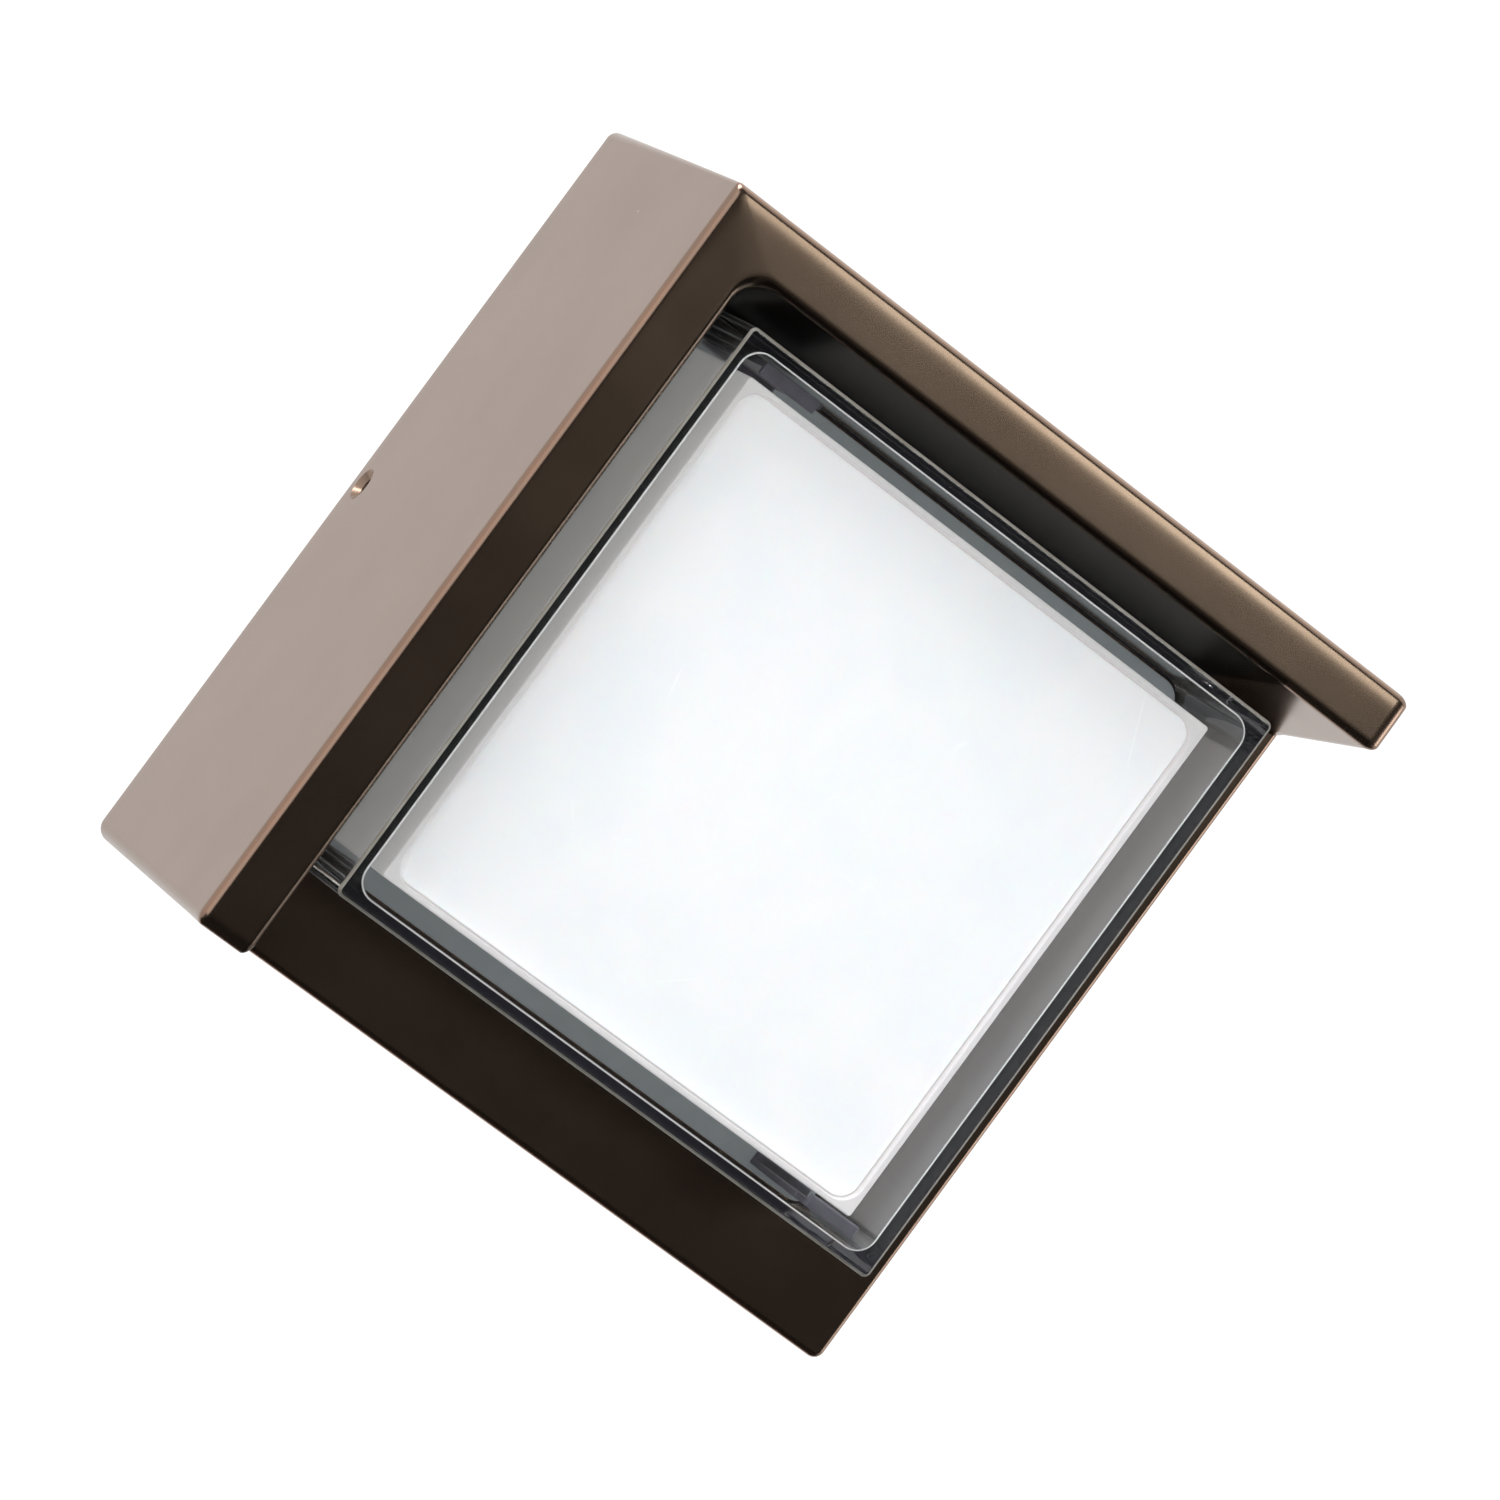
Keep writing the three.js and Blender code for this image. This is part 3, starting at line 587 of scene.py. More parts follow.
def hood_levels():
    """Levels across the hood from the back of its outer side to the face.

    Each is (w, y, corner r, angle of the normal, and the two radii with which the surface rolls over the
    hood's ends: along the path and across it). The normal's angle runs from outward (0) through front (90)
    to inward (180)."""
    slope = (ROOT_W - RIM_W) / (FACE_Y - FRONT_Y)
    full = RIM_W + slope * RIM_FILLET
    near = EDGE_R - 0.03
    levels = [(0, y, r, 0, END_R, END_R)
              for y, r in ((BACK_Y - 3, OUTLINE_R), (-20, 1.6), (-45, 1.2), (-68, HOOD_CORNER_R))]
    levels.append((0, FRONT_Y + EDGE_R + 2.4, HOOD_CORNER_R, 0, END_R, 1.8))
    levels.append((0, FRONT_Y + EDGE_R + 0.8, HOOD_CORNER_R, 0, END_R, near))
    for k in range(9):
        a = QUARTER * k / 8
        w = EDGE_R * (1 - math.cos(a))
        y = FRONT_Y + EDGE_R * (1 - math.sin(a))
        levels.append((w, y, HOOD_CORNER_R + w * 0.2, math.degrees(a), END_R, near))
    rim_end = full - RIM_FILLET
    for share, r in ((0.04, 1.2), (0.09, 1.4), (0.14, 1.6), (0.2, 1.8), (0.28, 2.1), (0.4, 2.6), (0.6, 3.4),
                     (0.8, 4.3), (0.94, 4.9)):
        levels.append((EDGE_R + (rim_end - EDGE_R) * share, FRONT_Y, r, 90, END_R, near))
    wall_angle = math.degrees(math.atan(slope))
    for k in range(9):
        a = (QUARTER - math.radians(wall_angle)) * k / 8
        w = rim_end + RIM_FILLET * math.sin(a)
        levels.append((w, FRONT_Y + RIM_FILLET * (1 - math.cos(a)), RIM_CORNER_R - 0.3 + 0.3 * k / 8,
                       90 + math.degrees(a), END_R, near))
    for share in (0.03, 0.1, 0.35, 0.65, 0.9):
        y = FRONT_Y + RIM_FILLET + (FACE_Y - FRONT_Y - RIM_FILLET) * share
        r = RIM_CORNER_R + (ROOT_CORNER_R - RIM_CORNER_R) * share
        levels.append((full + (ROOT_W - full) * share, y, r, 180 - wall_angle, END_R, 1.8))
    levels.append((ROOT_W, FACE_Y, ROOT_CORNER_R, 135, FACE_EDGE_R, FACE_EDGE_R))
    return levels


def crown(x, z, w, y):
    """How far the top rim falls back towards its outer edge; it fades out down the left side and behind."""
    rim = RIM_W - RIM_FILLET
    across = max(0, min(1, (rim - w) / (rim - EDGE_R)))
    along = max(0, min(1, ((x + HALF) * 0.8 + (z - HALF + 34)) / 40))
    behind = max(0, min(1, (FRONT_Y + 12 - y) / 10))
    fall = RIM_TILT * across + CROWN * across ** CROWN_POWER
    return fall * along * along * (3 - 2 * along) * behind


def hood_surface():
    """Grid of points and normals: one row per level, from the lower end of the hood to its right end."""
    rows = []
    for w, y, r, tilt, end_r, end_n in hood_levels():
        a = math.radians(tilt)
        scale = math.sqrt(2) if w == ROOT_W else 1
        row = []
        for (x, z), (nx, nz) in l_path(w, r, 22, 12, -HALF + end_r, HALF - end_r):
            normal = Vector((nx * math.cos(a), -math.sin(a), nz * math.cos(a))) * scale
            row.append((Vector((x, y + crown(x, z, w, y), z)), normal, (end_r, min(end_r, end_n))))
        rows.append(row)
    return rows


def end_chain(rows):
    """Border of the front surface: lower hood end, lower and right edges of the face, right hood end.

    Each entry is a point, its surface normal, the direction that the edge rolls to, and the roll radius."""
    down, right = Vector((0, 0, -1)), Vector((1, 0, 0))
    forward = Vector((0, -1, 0))
    chain = [(p, n, down, r) for p, n, r in (row[0] for row in rows)]
    edge = FACE_EDGE_R
    inner = HALF - OUTLINE_R
    start_x = rows[-1][0][0].x
    for k in range(1, 13):
        x = start_x + (inner - start_x) * k / 12
        chain.append((Vector((x, FACE_Y, -HALF + edge)), forward, down, (edge, edge)))
    centre = Vector((inner, FACE_Y, -inner))
    for k in range(1, 9):
        a = QUARTER * k / 8
        roll = down * math.cos(a) + right * math.sin(a)
        chain.append((centre + roll * (OUTLINE_R - edge), forward, roll, (edge, edge)))
    end_z = rows[-1][-1][0].z
    for k in range(1, 12):
        z = -inner + (end_z + inner) * k / 12
        chain.append((Vector((HALF - edge, FACE_Y, z)), forward, right, (edge, edge)))
    chain += [(p, n, right, r) for p, n, r in (row[-1] for row in reversed(rows))]
    return chain


def housing_body():
    """Hood, outer sides, face and open back as one closed mesh."""
    bm = bmesh.new()
    rows = hood_surface()
    grid = [[bm.verts.new(entry[0]) for entry in row] for row in rows]
    for a, b in zip(grid, grid[1:]):
        for i in range(len(a) - 1):
            bm.faces.new((a[i], b[i], b[i + 1], a[i + 1]))

    chain = end_chain(rows)
    roll_steps = 8
    count = len(rows)
    border = [row[0] for row in grid]
    border += [bm.verts.new(entry[0]) for entry in chain[count:len(chain) - count]]
    border += [row[-1] for row in reversed(grid)]
    strips = [border]
    for k in range(1, roll_steps + 1):
        a = QUARTER * k / roll_steps
        strips.append([bm.verts.new(p + roll * r[0] * math.sin(a) - n * r[1] * (1 - math.cos(a)))
                       for p, n, roll, r in chain])
    for a, b in zip(strips, strips[1:]):
        bridge(bm, a, b, False)

    last = strips[-1]
    base_low = count + 11
    corner = range(base_low, base_low + 9)
    bm.faces.new(grid[-1] + border[count:len(chain) - count][::-1])

    side_y = BACK_Y - 3
    low_corner = [bm.verts.new((last[i].co.x, side_y, last[i].co.z)) for i in corner]
    bridge(bm, [last[i] for i in corner], low_corner, False)
    bm.faces.new(last[:corner[0] + 1] + [low_corner[0]])
    bm.faces.new(last[corner[-1]:] + [low_corner[-1]])

    loop = [strips[k][0] for k in range(roll_steps, 0, -1)] + grid[0]
    loop += [strips[k][-1] for k in range(1, roll_steps + 1)] + low_corner[::-1]
    close_back(bm, loop)
    return new_object("housing_casting", bm)


def close_back(bm, loop):
    """Back edge, gasket groove and inner wall as rings that keep the outline's points, then the floor."""
    lip = 0.7
    groove_out, groove_in = 0.9, 2.8
    groove_y = BACK_Y - 2.5
    steps = []
    for k in range(5):
        a = QUARTER * k / 4
        w = lip * (1 - math.cos(a))
        steps.append((w, BACK_Y - lip * (1 - math.sin(a)), OUTLINE_R - w))
    steps += [(groove_out - 0.1, BACK_Y, 1.1), (groove_out, BACK_Y - 0.1, 1.1),
             (groove_out, groove_y, 1.0), (groove_in, groove_y, 0.6), (groove_in, BACK_Y - 0.1, 0.6),
             (groove_in + 0.1, BACK_Y, 0.6), (WALL_T - 0.15, BACK_Y, 1.3), (WALL_T, BACK_Y - 0.15, 1.5),
             (WALL_T, BACK_Y - 4, 1.5), (WALL_T + 0.2, BAY_Y + 1.2, 1.5), (WALL_T + 0.55, BAY_Y + 0.35, 1.5),
             (WALL_T + 1.4, BAY_Y, 1.5)]
    previous = loop
    for w, y, r in steps:
        ring = [bm.verts.new(inset_point(v.co, w, y, r)) for v in loop]
        bridge(bm, previous, ring)
        previous = ring
    bm.faces.new(previous)


def inset_point(p, w, y, r):
    """Point of the outer outline moved to the outline that lies w inside it and has corner radius r."""
    flat = HALF - OUTLINE_R
    new_flat = HALF - w - r
    out = []
    beyond = Vector((max(abs(p.x) - flat, 0), max(abs(p.z) - flat, 0)))
    for value, extra in ((p.x, beyond.x), (p.z, beyond.y)):
        size = new_flat * min(abs(value) / flat, 1) + extra / OUTLINE_R * r
        out.append(math.copysign(size, value))
    return (out[0], y, out[1])


def hood_core():
    """L-shaped hollow behind the hood's faces, open to the bay."""
    wall = 3.0
    outer = HALF - WALL_T
    rings = []
    for y, inner in ((FRONT_Y + wall, RIM_W - wall), (FACE_Y, ROOT_W - wall), (BAY_Y + 1.5, ROOT_W - wall)):
        a, b = -outer, -HALF + inner
        top = HALF - inner
        points = [(a, -outer), (b, -outer), (b, top), (outer, top), (outer, outer), (a, outer)]
        rings.append([(x, y, z) for x, z in points])
    return skin("core", rings)


def screw_boss(side):
    """Boss inside the wall that a set screw runs through."""
    boss = turned("boss", [(5, 0), (5, 5.2), (4.4, 6.2)], (-side, 0, 0), (side * (HALF - 1), SET_SCREW_Y, 0))
    guard = block("guard", -HALF, HALF, -60, BACK_Y - 2.9, -20, 20, 0)
    return combine(boss, [guard], "INTERSECT")


def screw_hole(side):
    """Countersunk bore of a set screw."""
    start = (side * (HALF + 1), SET_SCREW_Y, 0)
    profile = [(COUNTERSINK_R + 1.0, 0), (COUNTERSINK_R, 1), (SCREW_BORE_R, 2.1), (SCREW_BORE_R, 9)]
    return turned("hole", profile, (-side, 0, 0), start, 64)


def drilled(node):
    """Tapped hole in the bay's floor for a screw's CAD node, drilled from behind."""
    x, z = middle(node)
    above, depth = 4, 3
    return bore(TAP_R, above + depth, (x, BAY_Y + above, z), (0, -1, 0))


def lens_groove():
    """Groove in the face for the lens's foot and its seal."""
    outer, inner = LENS_ROOT_HALF + 0.35, LENS_ROOT_HALF - LENS_T - 0.5
    y0, y1 = FACE_Y - 1, FACE_Y + 2.6
    profile = [(outer, y0, LENS_OUTER_R, 0), (outer, y1, LENS_OUTER_R, 0),
               (inner, y1, LENS_INNER_R, 0), (inner, y0, LENS_INNER_R, 0)]
    return square_loft("groove", profile, closed=True)


def housing():
    """The casting with its holes, its coat with copper edges that are partly rubbed through and partly a
    painted highlight, and a darker copy of the coat that paints shade under the hood.
    """
    obj = housing_body()
    cut(obj, hood_core())
    fuse(obj, screw_boss(-1), screw_boss(1))
    cutters = [screw_hole(-1), screw_hole(1), lens_groove()]
    cutters += [drilled(node) for node in ("earth_screw", "driver_screw_left", "driver_screw_right")]
    cutters += led_screw_holes(TAP_R, FACE_Y - 1, 4, 24)
    cutters.append(lead_hole(FACE_Y - 1, 8))
    cut(obj, *cutters)
    mark_wear_and_highlight(obj, housing_edges(), 1.3)
    finish_piece(obj, ("bronze", "painted_shade"), ["housing"])
    paint_hood_shade(obj)


def paint_hood_shade(obj):
    """Gives a darker, less reflective copy of the coat, painted shade, to the underside of the hood over the
    lens and to the left rim's inner edge.
    """
    for polygon in obj.data.polygons:
        x, y, z = polygon.center / MM
        under_hood = x < LENS_HALF - 2 and y < FACE_Y - 0.1 and z > HALF - ROOT_W - 4
        inner_edge = 0 < x + HALF - RIM_W + RIM_FILLET < RIM_FILLET + 1 and y < FRONT_Y + RIM_FILLET * 0.8
        if under_hood and polygon.normal.z < -0.3 or inner_edge and polygon.normal.x > 0.1:
            polygon.material_index = 1


def housing_edges():
    """Outer edge lines of the casting, where the coat rubs through and where the lighter copper also paints
    the fillets' highlight.
    """
    h, f, y, b = HALF, FRONT_Y, FACE_Y, BACK_Y
    rim = HALF - RIM_W
    front = [((-h, f, -h), (-h, f, h), 0.85), ((-h, f, h), (h, f, h), 0.45),
             ((-h, f, -h), (-rim, f, -h), 0.6), ((h, f, h), (h, f, rim), 0.3), ((-h, b, h), (-h, f, h), 0.5)]
    base = [((-h + ROOT_W, y, -h), (h, y, -h), 0.7), ((h, y, -h), (h, y, h - ROOT_W), 0.45),
            ((h, b, -h), (h, y, -h), 0.5), ((-h, b, -h), (h, b, -h), 0.5), ((h, b, -h), (h, b, h), 0.5)]
    sides = [((-h, b, -h), (-h, f, -h), 0.6), ((h, b, h), (h, f, h), 0.6), ((-h, b, h), (h, b, h), 0.5),
             ((-h, b, -h), (-h, b, h), 0.4), ((-h + ROOT_W, y, -h), (-rim, f, -h), 0.4),
             ((h, y, h - ROOT_W), (h, f, rim), 0.4)]
    return front + base + sides


# --- lens and light module ---

def lens_cover():
    """Open box of clear plastic; its skin runs from the inner face round the foot to the outer face."""
    back, front = LENS[1].y, LENS[0].y
    inner = LENS_HALF - LENS_T
    margin = 12
    profile = [(inner - margin, front + LENS_T, 1, 0), (inner, front + LENS_T, LENS_INNER_R, 0.4),
               (LENS_ROOT_HALF - LENS_T, back, LENS_INNER_R, 0.15),
               (LENS_ROOT_HALF, back, LENS_OUTER_R, 0.3),
               (LENS_HALF, front, LENS_OUTER_R, 0.7), (LENS_HALF - margin, front, 0.5, 0)]
    obj = square_loft("lens_box", profile)
    finish_piece(obj, ("clear", "pocket", "inner_edge", "outer_edge"), ["lens_cover"], 60)
    pocket_half = inner + 0.3
    for polygon in obj.data.polygons:
        x, y, z = polygon.center / MM
        inside = max(abs(x), abs(z)) < pocket_half
        slant = abs(polygon.normal.y)
        # The slanted faces near the front get the painted highlight materials.
        if y < front + LENS_T + 0.4 and 0.25 < slant < 0.97:
            polygon.material_index = 2 if inside else 3
        elif inside and slant <= 0.25:
            polygon.material_index = 1


def ring_band(name, outer, inner, y0, y1, r_out, r_in, edge):
    """Square ring of rectangular section, between two half widths and two depths."""
    profile = [(outer, (y0 + y1) / 2, r_out, 0), (outer, y1, r_out, edge), (inner, y1, r_in, edge),
               (inner, y0, r_in, edge), (outer, y0, r_out, edge), (outer, (y0 + y1) / 2 - 0.01, r_out, 0)]
    return square_loft(name, profile, True, 4)


def gaskets():
    """Seal in the lens's groove and foam against the wall."""
    low, high = box_mm("lens_gasket")
    inner = LENS_ROOT_HALF - LENS_T - 0.2
    seal = ring_band("lens_seal", high.x, inner, low.y, high.y, LENS_OUTER_R, 3.6, 0.3)
    finish_piece(seal, "silicone", ["lens_gasket"], 60)
    low, high = box_mm("wall_gasket")
    width = 1.3
    foam = ring_band("wall_seal", high.x, high.x - width, low.y, high.y, 1, 0.5, 0.3)
    finish_piece(foam, "rubber", ["wall_gasket"], 60)


def heat_spreader():
    """Grey metal plate that shows round the tray; its emission is a painted glow that lights it where it
    lies in shade.
    """
    half = SPREADER[1].x
    y = SPREADER[0].y
    obj = slab("grey_floor", rectangle(-half, half, -half, half, LENS_INNER_R), y, SPREADER[1].y, 0.25)
    cut(obj, *led_screw_holes(CLEARANCE_R, y - 2, 5), lead_hole(y - 2, 5))
    finish_piece(obj, "floor", ["heat_spreader"])


def reflector_tray():
    """White tray whose stepped rim holds the panel."""
    half = TRAY[1].x
    back, front = TRAY[1].y, TRAY[0].y
    floor = back - 1.5
    ledge = PANEL[1].y + 0.3
    rim, seat = 1.1, 2.7
    centre = 10
    profile = [(centre, back, 0.6, 0), (half, back, 0.6, 0.5), (half, front, 0.6, 0.3),
               (half - rim, front, 4.0, 0.3), (half - rim, ledge, 4.0, 0.15), (half - seat, ledge, 3.6, 0.3),
               (half - seat - 0.8, floor, 3.6, 0.8), (centre, floor, 2, 0)]
    obj = square_loft("tray", profile)
    cut(obj, *led_screw_holes(CLEARANCE_R, floor - 2, 5), lead_hole(floor - 2, 5))
    finish_piece(obj, "tray", ["reflector_tray"])


def diffuser_panel():
    """Opal plate in the tray's rim."""
    half = PANEL[1].x
    obj = slab("opal_panel", rectangle(-half, half, -half, half, 3.6, 10), PANEL[0].y, PANEL[1].y, 0.3)
    finish_piece(obj, "opal", ["diffuser_panel"])


def lens_clip(name, node, notch_side):
    """Sprung blade with a foot, a rolled lip at the front and a notch in the lip's end."""
    low, high = box_mm(node)
    upper = high.z > 0
    thin, deep = 1.1, 2.4
    blade = (high.z - thin, high.z) if upper else (low.z, low.z + thin)
    foot = (high.z - deep, high.z) if upper else (low.z, low.z + deep)
    obj = block(name, low.x, high.x, low.y, high.y, *blade, 0.2)
    parts = [block("foot", low.x, high.x, high.y - 1, high.y, *foot, 0.25),
             block("lip", low.x, high.x, low.y, low.y + 1.4, *foot, 0.45)]
    fuse(obj, *parts)
    notch_x = low.x if notch_side < 0 else high.x
    reach = 1.6
    sides = (notch_x - reach, notch_x + reach)
    cut(obj, block("notch", *sides, low.y - 1, low.y + 3, foot[0] - 1, foot[1] + 1, 0.3))
    finish_piece(obj, "clip", [node], 40)


def led_board():
    """Board with its holes, and the emitters as a piece of their own."""
    low, high = BOARD
    thick = 1.6
    front = high.y - thick
    obj = slab("led_panel", rectangle(low.x, high.x, low.z, high.z, 2), front, high.y, 0.1)
    cut(obj, *led_screw_holes(CLEARANCE_R, front - 2, 5), lead_hole(front - 2, 5))
    finish_piece(obj, "board", ["led_board"])
    emitters(front)


def emitters(front):
    """Five by five surface-mounted LEDs: a ceramic frame round a slightly domed phosphor."""
    bm = bmesh.new()
    size, height = 1.5, 0.7
    for i in range(-2, 3):
        for k in range(-2, 3):
            x, z = i * LED_PITCH, k * LED_PITCH
            rings = []
            for w, y in ((size, front), (size, front - height + 0.1), (size - 0.1, front - height),
                         (size - 0.35, front - height), (size - 0.5, front - height + 0.2)):
                outline = rectangle(x - w, x + w, z - w, z + w, 0.2, 3)
                rings.append([bm.verts.new((a, y, b)) for a, b in outline])
            for a, b in zip(rings, rings[1:]):
                bridge(bm, a, b)
            bm.faces.new(rings[0][::-1])
            bm.faces.new(rings[-1]).material_index = 1
    obj = new_object("led_emitters", bm)
    finish_piece(obj, ("ceramic", "phosphor"))


# --- fasteners ---

def threaded(name, radius, pitch, start, end, axis, origin, tip=(), head=(), sides=24):
    """Rod with a helical thread between start and end; tip and head are profile points at its ends."""
    depth = pitch * 0.45
    rings = [ring_round(axis, origin, at, [size] * sides) for size, at in tip]
    count = max(2, int(round(abs(end - start) / pitch * 5)))
    for k in range(count + 1):
        at = start + (end - start) * k / count
        fade = min(1, 4 * min(k, count - k) / count)
        phases = [(at / pitch - turn / sides) % 1.0 for turn in range(sides)]
        radii = [radius - depth * (1 - abs(2 * phase - 1)) * fade for phase in phases]
        rings.append(ring_round(axis, origin, at, radii))
    rings += [ring_round(axis, origin, at, [size] * sides) for size, at in head]
    return skin(name, rings)


def set_screw(name, node, side, body):
    """Headless screw: cone tip towards the plate's tab, hexagon socket outside."""
    low, high = box_mm(node)
    tip_x = low.x if side > 0 else -high.x
    outer_x = high.x if side > 0 else -low.x
    length = outer_x - tip_x
    origin = (side * tip_x, SET_SCREW_Y, 0)
    r = (high.z - low.z) / 2
    pitch = 0.7
    obj = threaded(name, r, pitch, 1.0, length - 0.3, (side, 0, 0), origin,
                   [(0.7, 0), (0.8, 0.02)], [(r - 0.05, length - 0.25), (r - 0.3, length)])
    key_r = 0.95
    hexagon = [(0.3, length - 2.6), (key_r, length - 2.1), (key_r, length + 1)]
    socket = turned("socket", hexagon, (side, 0, 0), origin, 6)
    cut(obj, socket)
    finish_piece(obj, "steel", [node], 30, body)


def pan_screw(name, node, facing, head_r, look="steel"):
    """Pan-head screw with a cross recess; facing is the direction of its head along Y."""
    low, high = box_mm(node)
    x, z = middle(node)
    head_top = low.y if facing < 0 else high.y
    tip = high.y if facing < 0 else low.y
    length = abs(head_top - tip)
    head_h = head_r * 0.66
    shank_r, pitch = 1.3, 0.5
    origin = (x, tip, z)
    under = length - head_h
    head = [(shank_r, under - 0.02), (head_r - 0.15, under), (head_r, under + 0.15)]
    for k in range(1, 8):
        a = QUARTER * k / 8
        head.append((head_r * math.cos(a) ** 0.6, under + 0.3 + (head_h - 0.3) * math.sin(a)))
    head.append((head_r * 0.2, length))
    tip_profile = [(0.35, 0), (0.5, 0.05)]
    obj = threaded(name, shank_r, pitch, 0.9, under - 0.1, (0, facing, 0), origin, tip_profile, head, 24)
    arm = head_r * 0.55
    top = length + 0.3
    blades = []
    for w, h in ((arm, 0.32), (0.32, arm)):
        rings = []
        for at, share in ((length - head_h * 0.75, 0.55), (top, 1.0)):
            y = tip + facing * at
            rings.append([(x + sx * w * (share if w > 0.5 else 1), y, z + sz * h * (share if h > 0.5 else 1))
                          for sx, sz in ((-1, -1), (1, -1), (1, 1), (-1, 1))])
        blades.append(skin("blade", rings))
    cut(obj, *blades)
    finish_piece(obj, look, [node], 35)


# --- wall plate and rear parts ---

def wall_plate():
    """Pressed steel plate: rounded corners, two bent tabs, box-screw slots, round wire opening."""
    low, high = PLATE
    thick = 2.0
    half_w, half_h = high.x, high.z
    bend = 2.4
    outline = rectangle(-half_w + bend - 0.6, half_w - bend + 0.6, -half_h, half_h, 3)
    obj = slab("mounting_plate", outline, -thick, 0, 0.3)
    tab_h = 13
    for side in (-1, 1):
        rings = []
        section = [(half_w - bend - 1, 0), (half_w - bend, 0)]
        for k in range(1, 8):
            a = QUARTER * k / 8
            section.append((half_w - bend + bend * math.sin(a), -bend * (1 - math.cos(a))))
        inside = half_w - thick
        section += [(half_w, -bend), (half_w, low.y + 0.3), (half_w - 0.3, low.y), (inside + 0.3, low.y),
                    (inside, low.y + 0.3), (inside, -bend)]
        inner = bend - thick
        for k in range(1, 4):
            a = QUARTER * (1 - k / 4)
            section.append((half_w - bend + inner * math.sin(a), -bend + inner * math.cos(a)))
        section += [(half_w - bend, -thick), (half_w - bend - 1, -thick)]
        for z in (-tab_h, tab_h):
            rings.append([(side * x, y, z) for x, y in section])
        fuse(obj, skin("tab", rings))
    cutters = [bore(SUPPLY["r"], 8, (SUPPLY["x"], -6, SUPPLY["z"]), sides=72)]
    slot_at, slot_half_l, slot_half_w = 40, 7, 2.5
    for side in (-1, 1):
        centre = slot_at * side
        outline = rectangle(centre - slot_half_l, centre + slot_half_l, -slot_half_w, slot_half_w, 2.49, 10)
        cutters.append(skin("slot", [[(x, y, z) for x, z in outline] for y in (-6, 2)]))
    cut(obj, *cutters)
    soften(obj, 0.18)
    finish_piece(obj, "zinc", ["wall_plate"], 40, "plate_on_wall")


def bushing(name, node, bore, body):
    """Rubber ring with rounded lips."""
    low, high = box_mm(node)
    x, z = middle(node)
    flange_r = (high.x - low.x) / 2
    sleeve_r = bore - 0.3
    inner_r = bore - 1.6
    flange_front = body == "plate_on_wall"
    start, end = (low.y, high.y) if flange_front else (high.y, low.y)
    direction = 1 if flange_front else -1
    length = abs(end - start)
    flange_t = 0.9
    profile = [(inner_r, 0.3, 0, 0), (inner_r, 0, 0, 0.25),
               (flange_r, 0, 0, 0.35), (flange_r, flange_t, 0, 0.35),
               (sleeve_r, flange_t, 0, 0.1), (sleeve_r, length, 0, 0.3), (inner_r, length, 0, 0.3),
               (inner_r, 0.31, 0, 0)]
    points = [(w, y) for w, y, _ in rounded_profile(profile, 4)]
    obj = turned(name, points, (0, direction, 0), (x, start, z), 56, closed=True)
    finish_piece(obj, "rubber", [node], 50, body)


def driver():
    """Tub with rounded corners, mounting ears and two round holes underneath; separate lid with five vent
    slots.
    """
    low, high = box_mm("driver_case")
    lid_low, lid_high = box_mm("driver_lid")
    x, z0, z1 = lid_high.x, lid_low.z, lid_high.z
    tub = slab("driver_tub", rectangle(-x, x, z0, z1, 1.8), low.y, high.y, 0.5)
    wall = 1.6
    hollow = rectangle(-x + wall, x - wall, z0 + wall, z1 - wall, 1)
    cut(tub, slab("inside", hollow, low.y + wall, high.y + 3, 0.2))
    ear_z0, ear_z1 = 20, 32
    for side in (-1, 1):
        ear = block("ear", *sorted((side * (x - 0.8), side * high.x)), low.y, low.y + 2, ear_z0, ear_z1, 0.4)
        cut(ear, bore(CLEARANCE_R, 6, (side * (high.x - 3.5), low.y - 2, 26)))
        fuse(tub, ear)
    cut(tub, *[bore(3, 6, (side * 26, low.y + 8, z0 - 2), (0, 0, 1)) for side in (-1, 1)])
    finish_piece(tub, "shell", ["driver_case"], 40)
    lid = slab("driver_cover", rectangle(-x, x, z0, z1, 1.8), lid_low.y, lid_high.y, 0.3)
    vents = [block("vent", -24 + 4 * k, -22.6 + 4 * k, lid_low.y - 1, lid_high.y + 1, z1 - 14, z1 - 4, 0.5)
             for k in range(5)]
    cut(lid, *vents)
    finish_piece(lid, "shell", ["driver_lid"], 40)


def driver_board():
    """Circuit board with a wound transformer and a capacitor, inside the tub."""
    low, high = box_mm("driver_board")
    front = high.y - 1.4
    board = block("driver_circuit", low.x, high.x, front, high.y, low.z, high.z, 0.1)
    finish_piece(board, "green", ["driver_board"])
    centre_z = (low.z + high.z) / 2
    core = block("transformer_core", -9, 11, front - 9.5, front - 0.1, centre_z - 9, centre_z + 9, 0.5)
    finish_piece(core, "black")
    can = turned("capacitor", [(4.6, 0), (5, 0.4), (5, 8.2), (4.7, 8.6), (0.5, 8.7)], (0, -1, 0),
                 (-24, front - 0.1, centre_z + 5), 40)
    finish_piece(can, "black", angle=50)


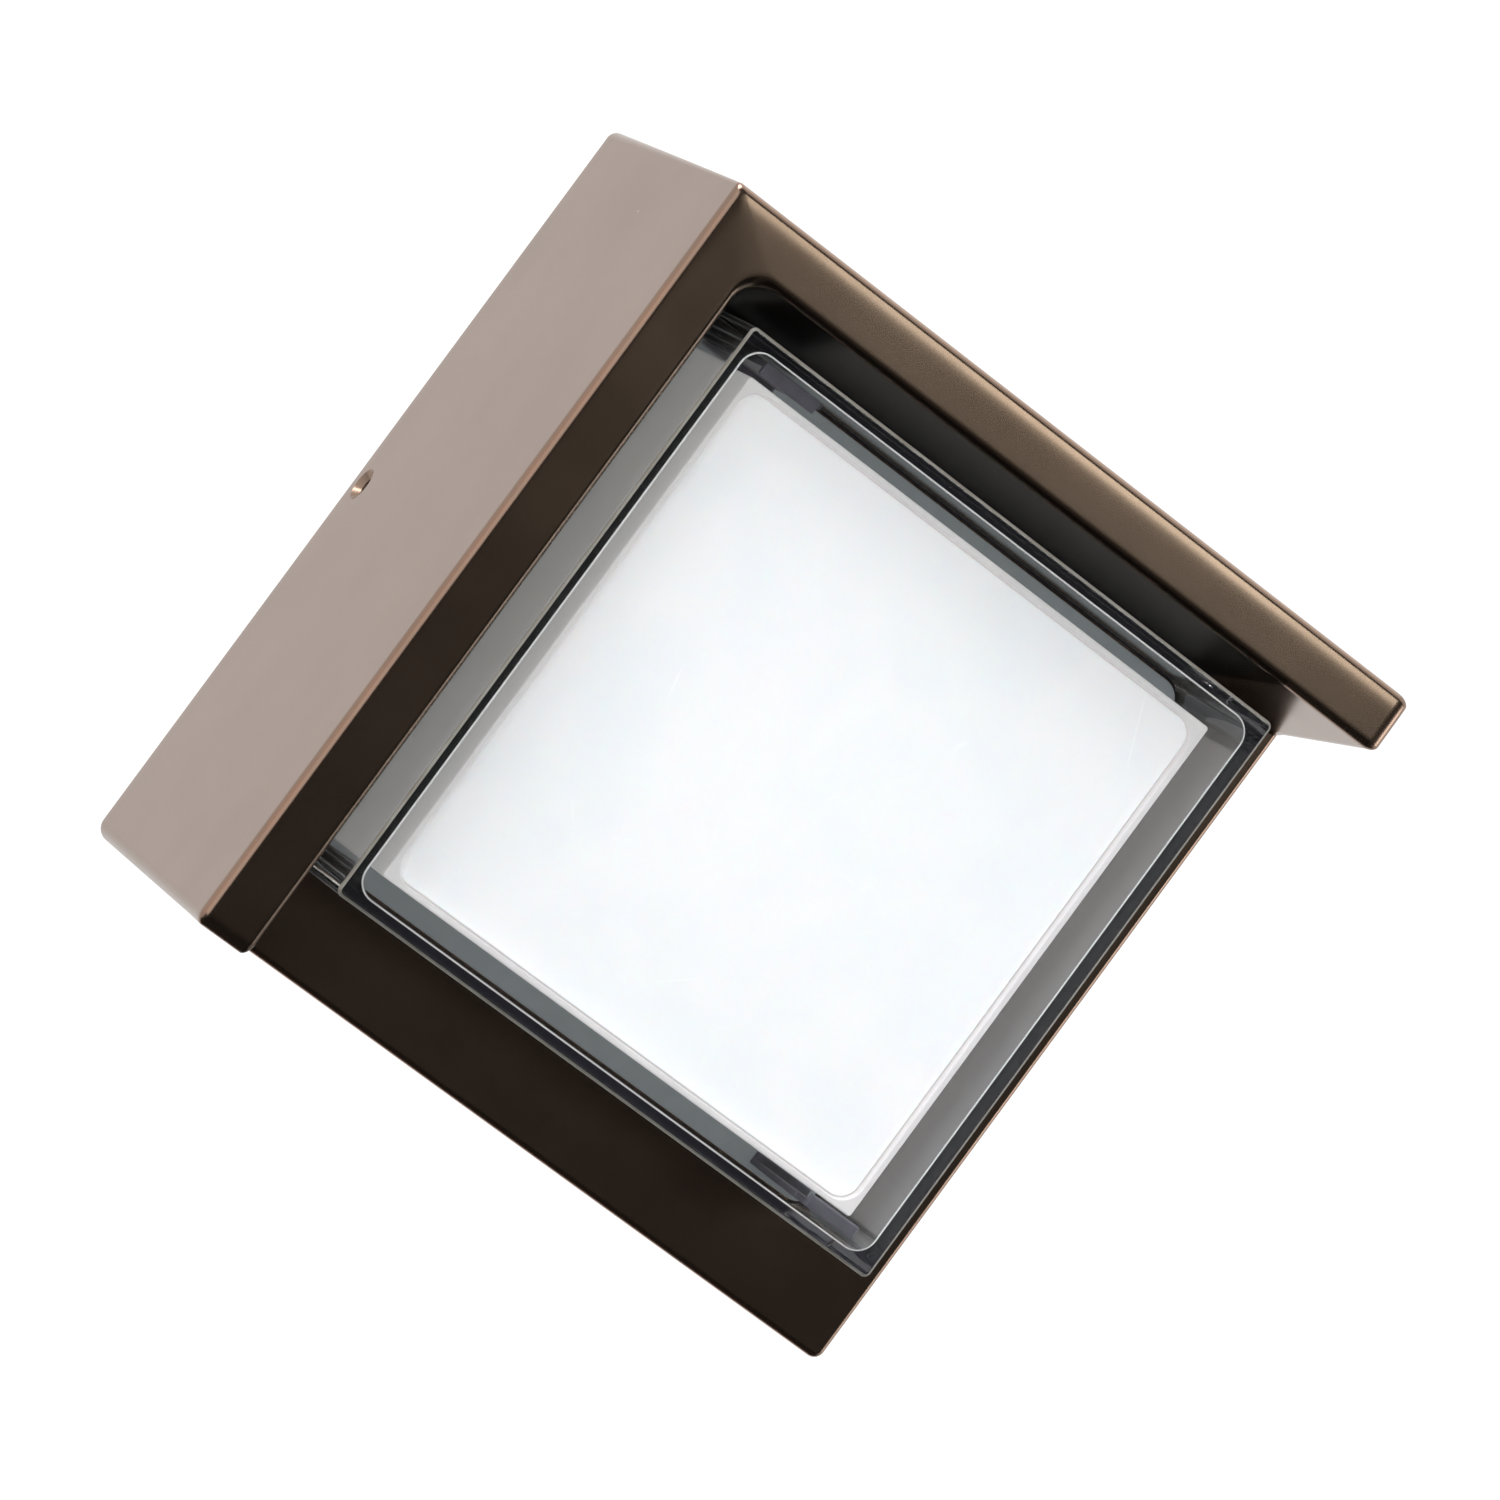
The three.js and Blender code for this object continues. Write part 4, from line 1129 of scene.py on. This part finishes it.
def terminal_block():
    """Three-way block: clamp screws in wells at the back, wire entries above and below."""
    low, high = box_mm("terminal_block")
    obj = block("terminal_body", low.x, high.x, low.y, high.y, low.z, high.z, 0.5)
    centre_x, centre_z = middle("terminal_block")
    pitch = 9
    cutters = []
    for i in (-1, 0, 1):
        x = centre_x + pitch * i
        cutters.append(bore(2.2, 4, (x, high.y - 3, centre_z)))
        for side in (-1, 1):
            start = (x, low.y + 5, centre_z + side * ((high.z - low.z) / 2 - 4))
            cutters.append(bore(1.9, 8, start, (0, 0, side)))
    for i in (-0.5, 0.5):
        x = centre_x + pitch * i
        cutters.append(block("gap", x - 0.6, x + 0.6, high.y - 2.2, high.y + 2, low.z - 1, high.z + 1, 0.2))
    cut(obj, *cutters)
    finish_piece(obj, "terminal", ["terminal_block"], 40)
    for i, number in ((-1, 1), (0, 2), (1, 3)):
        x = centre_x + pitch * i
        head = [(1.7, 0), (1.85, 0.15), (1.85, 1.1), (1.6, 1.4), (0.2, 1.45)]
        screw = turned(f"clamp_screw_{number}", head, (0, 1, 0), (x, high.y - 2.9, centre_z), 36)
        cut(screw, block("slot", x - 2, x + 2, high.y - 2.2, high.y, centre_z - 0.3, centre_z + 0.3, 0))
        finish_piece(screw, "brass", angle=40)


def carried_over(name, look):
    """Gives a CAD node that stays in the picture its finish."""
    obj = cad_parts[name]
    obj.data.materials.clear()
    obj.data.materials.append(LOOKS[look])


# --- stage ---

def camera():
    """The photo's view, solved from its perspective."""
    data = bpy.data.cameras.new("camera")
    data.sensor_width = 36
    data.lens = 217.71
    obj = linked("camera", data)
    right = Vector((0.75587, -0.27757, 0.59298))
    up = Vector((-0.56694, 0.17552, 0.80484))
    back = right.cross(up)
    pose = Matrix((right, up, back)).transposed().to_4x4()
    pose.translation = Vector((-0.5066, -1.4963, -0.0355))
    obj.matrix_world = pose
    bpy.context.scene.camera = obj


def area_light(name, place, target, width, height, power, colour=(1, 1, 1)):
    data = bpy.data.lights.new(name, "AREA")
    data.shape = "RECTANGLE"
    data.size, data.size_y = width, height
    data.energy = power
    data.color = colour
    obj = linked(name, data)
    obj.location = place
    obj.rotation_mode = "QUATERNION"
    obj.rotation_quaternion = (Vector(target) - Vector(place)).to_track_quat("-Z", "Y")


def plain_surface(name, colour):
    return Look(name, Base_Color=colour, Roughness=0.9).material


def plane(name, centre, right, up, material):
    c, r, u = Vector(centre), Vector(right), Vector(up)
    mesh = bpy.data.meshes.new(name)
    mesh.from_pydata([c - r - u, c + r - u, c + r + u, c - r + u], [], [(0, 1, 2, 3)])
    mesh.materials.append(material)
    obj = linked(name, mesh)
    return obj


def studio():
    """White surroundings, a pale floor, and two black cards that only reflections see."""
    scene = bpy.context.scene
    scene.view_settings.view_transform = "Standard"
    scene.view_settings.look = "None"
    world = bpy.data.worlds.new("studio")
    scene.world = world
    world.use_nodes = True
    world.node_tree.nodes["Background"].inputs["Color"].default_value = (1, 1, 1, 1)
    world.node_tree.nodes["Background"].inputs["Strength"].default_value = 1.12
    plane("floor", (0, 0, FLOOR_Z), (14, 0, 0), (0, 14, 0), plain_surface("pale_floor", (0.93, 0.93, 0.93)))
    black = plain_surface("card", (0.012, 0.011, 0.01))
    card = plane("dark_card", (0.4, -2.1, 0.6), (4, 0, 0), (0, 0, 2.4), black)
    card.visible_camera = False
    low_card = plane("low_card", (0.4, -0.7, -1.3), (2, 0, 0), (0, 1.1, 0), black)
    low_card.visible_camera = False
    low_card.visible_shadow = False
    softbox("key", -70, 45, 40, 1.1)
    softbox("front", -38, 2, 9, 1.4)
    softbox("rim", 20, 20, 2.6, 0.4, (0.94, 1.0, 0.93))
    softbox("right", 70, 5, 3, 0.5)
    area_light("overhead", (0, 1.0, 2.2), (0, 0.5, 0), 2.5, 2.5, 14)


def softbox(name, azimuth, elevation, power, size, colour=(1, 1, 1)):
    """Square light aimed at the part; azimuth 0 is in front, 90 on the right."""
    a, e = math.radians(azimuth), math.radians(elevation)
    place = Vector((math.sin(a) * math.cos(e), -math.cos(a) * math.cos(e), math.sin(e))) * SOFTBOX_DISTANCE
    area_light(name, place, (0, 0, 0), size, size, power, colour)


# --- build ---

camera()
studio()
housing()
lens_cover()
gaskets()
heat_spreader()
reflector_tray()
diffuser_panel()
lens_clip("clip_upper", "lens_clip_upper", 1)
lens_clip("clip_lower", "lens_clip_lower", -1)
led_board()
for number in range(1, 5):
    pan_screw(f"board_screw_{number}", f"led_screw_{number}", -1, 2.8)
set_screw("grub_screw_left", "set_screw_left", -1, "screw_left")
set_screw("grub_screw_right", "set_screw_right", 1, "screw_right")
wall_plate()
bushing("inlet_bushing", "supply_bushing", SUPPLY["r"], "plate_on_wall")
bushing("face_bushing", "lead_bushing", LEAD["r"], "light")
driver()
driver_board()
pan_screw("case_screw_left", "driver_screw_left", 1, 2.9)
pan_screw("case_screw_right", "driver_screw_right", 1, 2.9)
pan_screw("ground_screw", "earth_screw", 1, 3.4, look="earth")
terminal_block()
for lead, finish in (("dc_lead_positive", "red"), ("dc_lead_negative", "black"),
                     ("ac_lead_line", "black"), ("ac_lead_neutral", "white")):
    carried_over(lead, finish)
